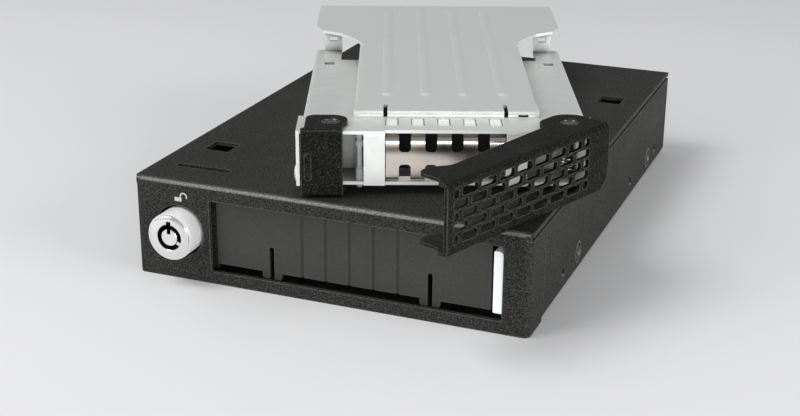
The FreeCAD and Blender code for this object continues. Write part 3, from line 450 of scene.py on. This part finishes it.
# Small steel parts: the lock's nut and cam, and the door's pin.
# Plain turned or stamped steel with a thin oil film, which clouds its shine.
def bare_metal(name, bright, dull, smooth, rough, grain, relief):
    # Metal whose colour and roughness are clouded, with a fine grain.
    metal, tree, shader, place = start_finish(name)
    cloud = noise(tree, place, scale=120.0, detail=6.0, roughness=0.6)
    tree.links.new(mix(tree, cloud, bright, dull), shader.inputs["Base Color"])
    tree.links.new(remap(tree, cloud, 0.3, 0.7, smooth, rough), shader.inputs["Roughness"])
    emboss(tree, shader, noise(tree, place, scale=grain, detail=3.0), relief, 0.00003)
    shader.inputs["Metallic"].default_value = 1.0
    return metal


small_steel = bare_metal("turned_steel", (0.56, 0.56, 0.55, 1.0), (0.42, 0.42, 0.42, 1.0),
                         smooth=0.22, rough=0.40, grain=3000.0, relief=0.15)
dress(("lock_nut", "lock_cam", "door_pin"), small_steel)


# Thread of the key lock: rolled on the neck of the barrel, behind its shoulder.
# The nut runs on it and clamps the barrel to the bracket.
def wind(corners, radius, wire, pitch, turns, hand, steps):
    # Sweeps a small round section, of that many corners, up a helix round the Z axis.
    bpy.ops.object.select_all(action="DESELECT")
    bpy.ops.mesh.primitive_circle_add(vertices=corners, radius=wire * mm,
                                      location=(radius * mm, 0.0, 0.0),
                                      rotation=(pi / 2, pi / 2, 0.0))
    wound = bpy.context.object
    bpy.ops.object.transform_apply(location=True, rotation=True, scale=False)
    sweep = wound.modifiers.new("sweep", "SCREW")
    sweep.angle = hand * 2.0 * pi
    sweep.screw_offset = pitch * mm
    sweep.iterations = turns
    sweep.steps = steps
    sweep.render_steps = steps
    bpy.ops.object.modifier_apply(modifier="sweep")
    bpy.ops.object.mode_set(mode="EDIT")
    return wound


def close_ends():
    # Closes the two ends of what was wound.
    bpy.ops.mesh.select_all(action="SELECT")
    bpy.ops.mesh.fill_holes(sides=0)
    face_outward()


neck = wind(3, neck_radius, wire=0.42, pitch=0.75, turns=17, hand=1, steps=32)
close_ends()
neck_place = at(lock_x, front + 8.55, lock_z) @ Matrix.Rotation(-pi / 2, 4, "X")
seat(neck, "lock_thread", neck_place, [small_steel], "cage")


# Springs: one closes the door flap, one opens the handle and one returns the latch.
# Each is close wound from round spring wire, with a straight leg that bears on the sheet.
def wind_spring(name, place, radius, wire, turns, leg, hand, node):
    # The wire's radius is given; its coils lie against each other.
    spring = wind(12, radius, wire * 0.98, pitch=2.0 * wire, turns=turns, hand=hand, steps=28)
    choose(spring, "EDGE", lambda edge: edge.is_boundary and all(
        corner.co.z < 1.1 * wire * mm and abs(corner.co.y) < 0.1 * wire * mm
        for corner in edge.verts))
    extrude((0.0, -hand * leg * mm, 0.0))
    close_ends()
    seat(spring, name, place, [spring_wire], "cage", 60.0)
    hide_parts(node)


spring_wire = bare_metal("spring_wire", (0.50, 0.49, 0.47, 1.0), (0.36, 0.35, 0.33, 1.0),
                         smooth=0.18, rough=0.32, grain=4200.0, relief=0.2)
flap_axis = Matrix(((0.0, 0.0, 1.0, 13.6 * mm), (0.0, -1.0, 0.0, (front + 3.6) * mm),
                    (1.0, 0.0, 0.0, 22.9 * mm), (0.0, 0.0, 0.0, 1.0)))
wind_spring("flap_return_spring", flap_axis, radius=1.12, wire=0.25, turns=5, leg=8.0, hand=1,
            node="door_spring")
tray_turn = radians(21.8)
tray_place = at(25.6, front + 13.8, 25.4) @ Matrix.Rotation(tray_turn, 4, "Z")
handle_pivot, latch_pivot, pivot_back = 28.9, -27.5, 7.6
for name, pivot, node in (("handle_opening_spring", handle_pivot, "handle_spring"),
                          ("latch_return_spring", latch_pivot, "latch_spring")):
    wind_spring(name, tray_place @ at(pivot, pivot_back, 5.6), radius=2.2, wire=0.4, turns=4,
                leg=5.4, hand=-1, node=node)


# Guide rails: left and right, moulded in black glass filled nylon.
# Screwed to the cage floor; the tray's ledges slide in their channels.
def moulded(name, dark, light, gloss, grain, relief):
    # Plastic with faint flow marks and a spark eroded grain.
    plastic, tree, shader, place = start_finish(name)
    flow = noise(tree, place, scale=60.0, detail=4.0, distortion=0.6)
    tree.links.new(mix(tree, flow, dark, light), shader.inputs["Base Color"])
    haze = remap(tree, flow, 0.3, 0.7, gloss - 0.06, gloss + 0.06)
    tree.links.new(haze, shader.inputs["Roughness"])
    emboss(tree, shader, noise(tree, place, scale=grain, detail=4.0), relief, 0.00004)
    return plastic


nylon = moulded("rail_nylon", (0.030, 0.030, 0.032, 1.0), (0.050, 0.050, 0.053, 1.0),
                gloss=0.5, grain=1800.0, relief=0.35)
dress(("left_guide_rail", "right_guide_rail"), nylon)


# Light guide and status light: a milky bar beside the door that a small lamp lights from behind.
# Clear plastic with a white filler, so it glows evenly along its face.
milky, tree, shader, place = start_finish("milky_light_bar")
glow = mix(tree, noise(tree, place, scale=90.0, detail=3.0),
           (0.97, 0.98, 1.0, 1.0), (0.90, 0.93, 0.96, 1.0))
tree.links.new(glow, shader.inputs["Base Color"])
tree.links.new(glow, shader.inputs["Emission Color"])
shader.inputs["Emission Strength"].default_value = 0.04
shader.inputs["Roughness"].default_value = 0.32
shader.inputs["Subsurface Weight"].default_value = 0.3
shader.inputs["Subsurface Scale"].default_value = 0.001
dress(("light_guide", "status_led"), milky)


# Backplane board: glass fibre laminate under green solder mask, screwed to the bay's rear.
# Copper tracks show through the mask as slightly raised, lighter lines.
mask, tree, shader, place = start_finish("solder_mask")
offset = add(tree, "SeparateXYZ", {"Vector": place})
face_on = add(tree, "CombineXYZ", {"X": offset.outputs["X"], "Y": offset.outputs["Z"]})
tracks = add(tree, "TexBrick", {"Vector": face_on.outputs["Vector"], "Scale": 400.0,
                                "Color1": (0.010, 0.075, 0.030, 1.0),
                                "Color2": (0.014, 0.090, 0.036, 1.0),
                                "Mortar": (0.035, 0.16, 0.07, 1.0), "Mortar Size": 0.06,
                                "Brick Width": 2.3, "Row Height": 0.55})
tree.links.new(tracks.outputs["Color"], shader.inputs["Base Color"])
emboss(tree, shader, tracks.outputs["Fac"], 0.3, 0.00004)
shader.inputs["Roughness"].default_value = 0.3
shader.inputs["Coat Weight"].default_value = 0.4
dress(("backplane_board",), mask)


# Parts on the board: a controller in a flat square package, a small power part with legs,
# chip capacitors and two electrolytic cans, all soldered to the board's front face.
epoxy = moulded("chip_epoxy", (0.018, 0.018, 0.019, 1.0), (0.030, 0.030, 0.031, 1.0),
                gloss=0.55, grain=5200.0, relief=0.4)
ceramic = moulded("capacitor_ceramic", (0.30, 0.19, 0.10, 1.0), (0.36, 0.24, 0.14, 1.0),
                  gloss=0.45, grain=4800.0, relief=0.2)
tinned = bare_metal("tinned_ends", (0.74, 0.74, 0.73, 1.0), (0.58, 0.58, 0.58, 1.0),
                    smooth=0.18, rough=0.36, grain=4200.0, relief=0.2)


def on_board(x, z, lift):
    # A place on the board's front face, where Z points away from the board.
    return at(0.0, front + 125.0, 0.0) @ Matrix.Rotation(pi / 2, 4, "X") @ at(x, z, lift)


def copy_to(pattern, name, place, body):
    # Places a copy of the pattern, with a mesh of its own.
    twin = pattern.copy()
    twin.data = pattern.data.copy()
    twin.name = name
    twin.data.name = name
    bpy.context.scene.collection.objects.link(twin)
    twin.parent = None
    twin.matrix_world = Matrix.Identity(4)
    twin.data.transform(place)
    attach(twin, body)
    return twin


as_made = Matrix.Identity(4)
chip = block(6.0, 6.0, 0.9)
choose(chip, "FACE", lambda face: face.normal.z > 0.9)
bpy.ops.mesh.inset(thickness=0.12 * mm)
bpy.ops.transform.translate(value=(0.0, 0.0, 0.05 * mm))
choose(chip, "EDGE", lambda edge: abs(edge.verts[0].co.z - edge.verts[1].co.z) > 0.5 * mm)
bpy.ops.mesh.bevel(offset=0.25 * mm, segments=2)
choose(chip, "FACE", lambda face: face.normal.z < -0.9)
bpy.ops.mesh.inset(thickness=0.3 * mm)
extrude((0.0, 0.0, -0.02 * mm))
seat(chip, "board_controller", on_board(-24.0, 17.6, 0.03), [epoxy], "cage")

regulator_x, regulator_z, leg_pitch = -24.0, 8.4, 1.27
legged = block(5.0, 3.8, 1.5)
bpy.ops.mesh.bevel(offset=0.2 * mm, segments=2)
seat(legged, "board_regulator", on_board(regulator_x, regulator_z, 0.12), [epoxy], "cage")
leg = block(0.42, 0.6, 0.2)
choose(leg, "FACE", lambda face: face.normal.y > 0.9)
extrude((0.0, 0.5 * mm, 0.55 * mm))
extrude((0.0, 0.5 * mm, 0.0))
face_outward()
seat(leg, "board_regulator_leg_0", as_made, [tinned], "cage")
for number in range(8):
    side = 1 if number < 4 else -1
    along = (number % 4 - 1.5) * leg_pitch * side
    turn = Matrix.Rotation(0.0 if side == 1 else pi, 4, "Z")
    spot = on_board(regulator_x, regulator_z, 0.02) @ turn @ at(along, -2.9, 0.0)
    copy_to(leg, "board_regulator_leg_%d" % (number + 1), spot, "cage")
bpy.data.objects.remove(leg)

capacitor = block(1.3, 1.25, 0.9)
for way in (-1, 1):
    choose(capacitor, "FACE", lambda face: face.normal.x * way > 0.9)
    extrude((way * 0.03 * mm, 0.0, 0.0))
    bpy.ops.transform.resize(value=(1.0, 1.06, 1.06))
    extrude((way * 0.4 * mm, 0.0, 0.0))
bpy.ops.object.mode_set(mode="OBJECT")
for face in capacitor.data.polygons:
    face.material_index = 1 if abs(face.center.x) > 0.66 * mm else 0
seat(capacitor, "board_capacitor_0", as_made, [ceramic, tinned], "cage", 60.0)
for number, (x, z, quarter_turns) in enumerate((
        (-30.6, 20.0, 0), (-30.6, 17.6, 0), (-19.2, 20.6, 1), (-19.2, 17.0, 1), (-33.0, 12.0, 0),
        (-33.0, 9.6, 0), (31.5, 19.5, 0), (31.5, 17.0, 0), (31.5, 14.5, 0), (38.5, 9.0, 1))):
    spot = on_board(x, z, 0.03) @ Matrix.Rotation(quarter_turns * pi / 2, 4, "Z")
    copy_to(capacitor, "board_capacitor_%d" % (number + 1), spot, "cage")
bpy.data.objects.remove(capacitor)

can_radius, foot_height = 2.0, 0.6
bpy.ops.mesh.primitive_cylinder_add(vertices=40, radius=can_radius * mm, depth=foot_height * mm,
                                    location=(0.0, 0.0, foot_height / 2 * mm))
can = bpy.context.object
bpy.ops.object.transform_apply(location=True, rotation=True, scale=True)
bpy.ops.object.mode_set(mode="EDIT")
choose(can, "FACE", lambda face: face.normal.z > 0.9)
for lift, spread in ((0.25, 0.94), (0.25, 1.064), (3.2, 1.0), (0.2, 0.93), (-0.08, 0.86)):
    extrude((0.0, 0.0, lift * mm))
    bpy.ops.transform.resize(value=(spread, spread, 1.0))
seat(can, "board_can_0", as_made, [tinned], "cage", 25.0)
for number, (x, z) in enumerate(((-38.4, 17.4), (33.0, 8.2))):
    copy_to(can, "board_can_%d" % (number + 1), on_board(x, z, 0.02), "cage")
bpy.data.objects.remove(can)


# Connectors: drive socket in front of the board, data and power inlets behind it.
# Moulded in black liquid crystal plastic with a dull, slightly streaked skin.
connector_black = moulded("connector_plastic", (0.016, 0.016, 0.017, 1.0),
                          (0.030, 0.030, 0.031, 1.0), gloss=0.42, grain=2400.0, relief=0.3)
dress(("drive_socket", "data_port", "power_port"), connector_black)


# Contacts of the three connectors: spring strips of gold plated bronze, 1.27 mm apart.
# They lie on the upper side of each tongue, seven for data and fifteen for power.
contact_pitch = 1.27
gold = bare_metal("contact_gold", (0.86, 0.62, 0.25, 1.0), (0.78, 0.54, 0.20, 1.0),
                  smooth=0.14, rough=0.28, grain=5200.0, relief=0.1)
strip = block(0.78, 5.2, 0.07)
choose(strip, "FACE", lambda face: face.normal.y < -0.9)
extrude((0.0, -0.35 * mm, -0.03 * mm))
choose(strip, "EDGE", lambda edge: abs(edge.verts[0].co.y - edge.verts[1].co.y) > 2.0 * mm and
       edge.verts[0].co.z > 0.05 * mm)
bpy.ops.mesh.bevel(offset=0.03 * mm, segments=2)
seat(strip, "contact_strip", as_made, [gold], "cage")
for group, count, centre, tip, half_turns, top in (
        ("socket_data_contacts", 7, -7.45, 43.45, 0, 13.3),
        ("socket_power_contacts", 15, 12.45, 43.45, 0, 13.3),
        ("data_port_contacts", 7, -11.5, 71.35, 1, 11.6),
        ("power_port_contacts", 15, 20.0, 71.35, 1, 11.6)):
    row = []
    for number in range(count):
        x = centre + (number - (count - 1) / 2) * contact_pitch
        spot = at(x, tip, top) @ Matrix.Rotation(half_turns * pi, 4, "Z") @ at(0.0, 2.95, 0.0)
        row.append(copy_to(strip, "%s_%d" % (group, number), spot, "cage"))
    bpy.ops.object.select_all(action="DESELECT")
    for contact in row:
        contact.select_set(True)
    bpy.context.view_layer.objects.active = row[0]
    bpy.ops.object.join()
    row[0].name = group
    row[0].data.name = group
bpy.data.objects.remove(strip)
bpy.ops.object.select_all(action="DESELECT")


# Tray frame: folded 0.8 mm galvanised steel with pressed beads, satin and pale grey.
# The zinc has a faint spangle, and fine rolling lines run along the tray's length. Deep inside
# its folds it is darkened by painted shade.
zinc, tree, shader, place = start_finish("galvanised_sheet")
turned = add(tree, "Mapping", {"Vector": place, "Rotation": (0.0, 0.0, -tray_turn)})
spangle = add(tree, "TexVoronoi", {"Vector": turned.outputs["Vector"], "Scale": 420.0})
flake = add(tree, "SeparateColor", {"Color": spangle.outputs["Color"]})
cloud = noise(tree, place, scale=30.0, detail=5.0, roughness=0.6)
spots = calculate(tree, "ADD", calculate(tree, "MULTIPLY", flake.outputs["Red"], 0.35), cloud)
tone = mix(tree, spots, (0.86, 0.88, 0.85, 1.0), (0.76, 0.78, 0.755, 1.0))
# Painted shade: an ambient occlusion node darkens the zinc where it is closed in.
open_to = add(tree, "AmbientOcclusion", {"Distance": 0.020}, samples=8, only_local=True)
open_air = remap(tree, open_to.outputs["AO"], 0.26, 0.60)
painted_shade_zinc = mix(tree, open_air, (0.045, 0.047, 0.04, 1.0), tone)
tree.links.new(painted_shade_zinc, shader.inputs["Base Color"])
tree.links.new(remap(tree, spots, 0.3, 1.0, 0.36, 0.52), shader.inputs["Roughness"])
stretched = add(tree, "Mapping", {"Vector": turned.outputs["Vector"], "Scale": (1.0, 0.03, 1.0)})
rolling = noise(tree, stretched.outputs["Vector"], scale=2200.0, detail=3.0)
emboss(tree, shader, rolling, 0.12, 0.00003)
shader.inputs["Metallic"].default_value = 0.6
dress(("tray_frame",), zinc)


# Side stop of the tray: a half round dimple pressed outward near the front of its left wall.
# It is of the same zinc coated sheet, and rubs on the guide rail as the tray goes home.
bpy.ops.object.select_all(action="DESELECT")
bpy.ops.mesh.primitive_uv_sphere_add(segments=28, ring_count=14, radius=1.0)
dimple = bpy.context.object
dimple.scale = (0.62 * mm, 1.9 * mm, 2.1 * mm)
bpy.ops.object.transform_apply(location=True, rotation=True, scale=True)
bpy.ops.object.mode_set(mode="EDIT")
bpy.ops.mesh.select_all(action="SELECT")
bpy.ops.mesh.bisect(plane_co=(0.0, 0.0, 0.0), plane_no=(1.0, 0.0, 0.0), use_fill=True,
                    clear_outer=True)
choose(dimple, "FACE", lambda face: face.normal.x > 0.9)
extrude((0.0, 0.0, 0.0))
bpy.ops.transform.resize(value=(1.0, 1.18, 1.18))
face_outward()
seat(dimple, "tray_side_stop", tray_place @ at(-35.42, 4.6, 4.8), [zinc], "cage")


# Vent plate: slotted spring sheet behind the handle, nickel plated and bright.
# Its plating has a warm cast, and a darker band just below the bend is a painted reflection. Five
# near white pads on its top edge fill the windows of the tray's shelf, as a painted highlight.
plating = bare_metal("bright_nickel", (0.62, 0.575, 0.53, 1.0), (0.57, 0.495, 0.45, 1.0),
                     smooth=0.12, rough=0.24, grain=2600.0, relief=0.05)
tree = plating.node_tree
shader = tree.nodes["Principled BSDF"]
warm = shader.inputs["Base Color"].links[0].from_socket
plate_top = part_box("vent_plate")[1][2]
from_top = add(tree, "Mapping", {"Vector": add(tree, "TexCoord").outputs["Object"],
                                 "Location": (0.0, 0.0, -plate_top)})
height = add(tree, "SeparateXYZ", {"Vector": from_top.outputs["Vector"]}).outputs["Z"]
# Painted reflection: a darker band from 2.6 to 5.6 mm below the plate's top.
painted_reflection_band = calculate(tree, "MULTIPLY",
                  remap(tree, height, -0.0026, -0.0036, interpolation_type="SMOOTHSTEP"),
                  remap(tree, height, -0.0056, -0.0038, interpolation_type="SMOOTHSTEP"))
tree.links.new(mix(tree, painted_reflection_band, warm, (0.17, 0.15, 0.13, 1.0)), shader.inputs["Base Color"])
dress(("vent_plate",), plating)

# Painted highlight: the pads are near white, with little metal, so the shelf's windows look lit.
pad_highlight = bare_metal("nickel_painted_highlight", (0.94, 0.94, 0.92, 1.0), (0.86, 0.86, 0.84, 1.0),
                       smooth=0.22, rough=0.34, grain=2600.0, relief=0.05)
pad_highlight.node_tree.nodes["Principled BSDF"].inputs["Metallic"].default_value = 0.2
pad_pitch = 6.15
pad = block(2.8, 5.4, 0.9)
choose(pad, "EDGE", lambda edge: all(corner.co.z > 0.5 * mm for corner in edge.verts))
bpy.ops.mesh.bevel(offset=0.3 * mm, segments=3)
seat(pad, "vent_pad_0", as_made, [pad_highlight], "cage")
for number in range(5):
    spot = tray_place @ at(-0.7 + (number - 2) * pad_pitch, 9.5, 15.02)
    copy_to(pad, "vent_pad_%d" % (number + 1), spot, "cage")
bpy.data.objects.remove(pad)


# Light pipe: a clear moulded rod that brings the tray's activity light to its front.
# It is held between the tray's two shelves by two small collars.
clear, tree, shader, place = start_finish("clear_light_pipe")
flow = noise(tree, place, scale=500.0, detail=3.0)
tone = mix(tree, flow, (0.93, 0.95, 0.94, 1.0), (0.84, 0.88, 0.87, 1.0))
tree.links.new(tone, shader.inputs["Base Color"])
tree.links.new(remap(tree, flow, 0.0, 1.0, 0.05, 0.20), shader.inputs["Roughness"])
shader.inputs["Transmission Weight"].default_value = 0.6
shader.inputs["IOR"].default_value = 1.49
dress(("tray_light_pipe",), clear)


# Handle and release latch: die cast, with a coarser black textured coat than the cage's.
# Inside the handle's channel the coat is darkened by painted shade.
# The handle's face is a vent grille, and both turn on black screws at their ends.
grip_coat = powder_coat("handle_textured_coat", dark=(0.003, 0.003, 0.0028, 1.0),
                        light=(0.014, 0.014, 0.012, 1.0), wear_and_glint=(0.13, 0.13, 0.12, 1.0),
                        fold_highlight=(0.05, 0.05, 0.046, 1.0), grain=1700.0, relief=0.9, gloss=0.50,
                        sparkle=0.4, shine=0.06)
tree = grip_coat.node_tree
shader = tree.nodes["Principled BSDF"]
full = shader.inputs["Base Color"].links[0].from_socket
# Painted shade: an ambient occlusion node darkens the coat where it is closed in.
open_to = add(tree, "AmbientOcclusion", {"Distance": 0.014}, samples=8, only_local=True)
painted_shade_grip = mix(tree, remap(tree, open_to.outputs["AO"], 0.35, 0.85),
              (0.0012, 0.0012, 0.0011, 1.0), full)
tree.links.new(painted_shade_grip, shader.inputs["Base Color"])
dress(("tray_handle", "release_latch"), grip_coat)


# Screws: cross recessed steel screws in five kinds. Countersunk ones with a black oxide finish
# hold the cage, the rails and the tray's pivots, and plated round headed ones the board and
# the cam.
oxide = bare_metal("black_oxide", (0.19, 0.19, 0.185, 1.0), (0.09, 0.09, 0.088, 1.0),
                   smooth=0.20, rough=0.36, grain=2500.0, relief=0.2)
zinc_plate = bare_metal("plated_steel", (0.66, 0.67, 0.69, 1.0), (0.52, 0.53, 0.55, 1.0),
                        smooth=0.20, rough=0.36, grain=3200.0, relief=0.1)


def make_screw(name, finish, head, head_depth, shank, length, sunk, arm, arm_width, arm_depth,
               pitch):
    # The head's top is at z = 0 and the shank points down. Head and shank are radii, and arm is
    # the reach of the cross recess from its centre.
    bpy.ops.object.select_all(action="DESELECT")
    bpy.ops.mesh.primitive_cylinder_add(vertices=56, radius=head * mm, depth=head_depth * mm,
                                        location=(0.0, 0.0, -head_depth / 2 * mm))
    screw = bpy.context.object
    bpy.ops.object.transform_apply(location=True, rotation=True, scale=True)
    bpy.ops.object.mode_set(mode="EDIT")
    choose(screw, "FACE", lambda face: face.normal.z < -0.9)
    core = shank - 0.25 * pitch
    if sunk:
        bpy.ops.transform.resize(value=(core / head, core / head, 1.0))
    else:
        bpy.ops.mesh.inset(thickness=(head - core) * mm)
    extrude((0.0, 0.0, (head_depth - length + 0.4 * core) * mm))
    extrude((0.0, 0.0, -0.4 * core * mm))
    bpy.ops.transform.resize(value=(0.7, 0.7, 1.0))
    choose(screw, "EDGE", lambda edge: all(corner.co.z > -0.001 * mm for corner in edge.verts))
    if sunk:
        bpy.ops.mesh.bevel(offset=0.05 * head * mm, segments=2)
    else:
        bpy.ops.mesh.bevel(offset=0.55 * head_depth * mm, segments=5)
    choose(screw, "FACE", lambda face: face.normal.z > 0.99 and
           face.calc_area() > head * mm * head * mm)
    if sunk:
        bpy.ops.mesh.inset(thickness=0.12 * head * mm)
        extrude((0.0, 0.0, -0.09 * head * mm))
        bpy.ops.transform.resize(value=(0.94, 0.94, 1.0))
    bpy.ops.object.mode_set(mode="OBJECT")
    cutter = block(arm_width, arm_width, 2.0 * arm_depth, base=-arm_depth)
    for way in (Vector((1, 0, 0)), Vector((-1, 0, 0)), Vector((0, 1, 0)), Vector((0, -1, 0))):
        choose(cutter, "FACE", lambda face: face.normal.dot(way) > 0.9 and
               face.calc_center_median().dot(way) < 0.51 * arm_width * mm)
        extrude(tuple(way * (arm - arm_width / 2) * mm))
    choose(cutter, "VERT", lambda corner: corner.co.z < 0.0)
    bpy.ops.transform.resize(value=(0.5, 0.5, 1.0))
    carve(screw, cutter)
    turns = int((length - head_depth - 0.8 * shank) / pitch)
    ridge = wind(3, core, 0.5 * pitch, pitch, turns, hand=1, steps=20)
    close_ends()
    bpy.ops.object.mode_set(mode="OBJECT")
    ridge.data.transform(at(0.0, 0.0, 0.3 * shank - length))
    bpy.ops.object.select_all(action="DESELECT")
    ridge.select_set(True)
    screw.select_set(True)
    bpy.context.view_layer.objects.active = screw
    bpy.ops.object.join()
    return seat(screw, name, as_made, [finish], "cage")


def drive_home(pattern, name, place, point, inward, node, body="cage"):
    # Puts a copy of the screw where its head ends at the point, in place of its CAD node.
    turn = (-Vector(inward)).to_track_quat("Z", "Y").to_matrix().to_4x4()
    screw = copy_to(pattern, name, place @ at(*point) @ turn, body)
    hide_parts(node)
    return screw


pattern = make_screw("case_screw_pattern", oxide, head=2.9, head_depth=1.4, shank=1.5, length=4.0,
                     sunk=True, arm=1.55, arm_width=0.55, arm_depth=1.2, pitch=0.5)
for side, where in ((-1, "left"), (1, "right")):
    for number, behind in enumerate((41.9, 120.0)):
        drive_home(pattern, "case_screw_%s_%d" % (where, number + 1), as_made,
                   (side * 50.8, front + behind, 5.3), (-side, 0, 0), "case_screws")
bpy.data.objects.remove(pattern)

pattern = make_screw("rail_screw_pattern", oxide, head=2.2, head_depth=1.0, shank=1.1, length=3.0,
                     sunk=True, arm=1.25, arm_width=0.45, arm_depth=0.9, pitch=0.45)
for side, where in ((-1, "left"), (1, "right")):
    for number, behind in enumerate((40.0, 105.0)):
        drive_home(pattern, "rail_screw_%s_%d" % (where, number + 1), as_made,
                   (5.65 + side * 36.9, front + behind, 0.0), (0, 0, 1), "rail_screws")
bpy.data.objects.remove(pattern)

pattern = make_screw("pivot_screw_pattern", oxide, head=2.3, head_depth=0.6, shank=1.5,
                     length=16.1, sunk=True, arm=1.4, arm_width=0.5, arm_depth=0.9, pitch=0.5)
drive_home(pattern, "handle_pivot_screw", tray_place, (handle_pivot, pivot_back, 16.7),
           (0, 0, -1), "handle_pivot_pin")
drive_home(pattern, "latch_pivot_screw", tray_place, (latch_pivot, pivot_back, 16.7),
           (0, 0, -1), "latch_pivot_pin")
bpy.data.objects.remove(pattern)

pattern = make_screw("board_screw_pattern", zinc_plate, head=1.9, head_depth=1.2, shank=1.0,
                     length=3.8, sunk=False, arm=1.1, arm_width=0.4, arm_depth=0.8, pitch=0.4)
for number, (x, z) in enumerate(((-45.0, 8.0), (-45.0, 18.5), (45.0, 8.0), (45.0, 18.5))):
    drive_home(pattern, "board_screw_%d" % (number + 1), as_made, (x, front + 123.8, z),
               (0, 1, 0), "board_screws")
bpy.data.objects.remove(pattern)

pattern = make_screw("cam_screw_pattern", zinc_plate, head=2.7, head_depth=1.4, shank=1.0,
                     length=4.9, sunk=False, arm=1.4, arm_width=0.5, arm_depth=1.0, pitch=0.4)
drive_home(pattern, "cam_fixing_screw", as_made, (lock_x, front + 26.3, lock_z), (0, -1, 0),
           "cam_screw", "lock_rotor")
bpy.data.objects.remove(pattern)
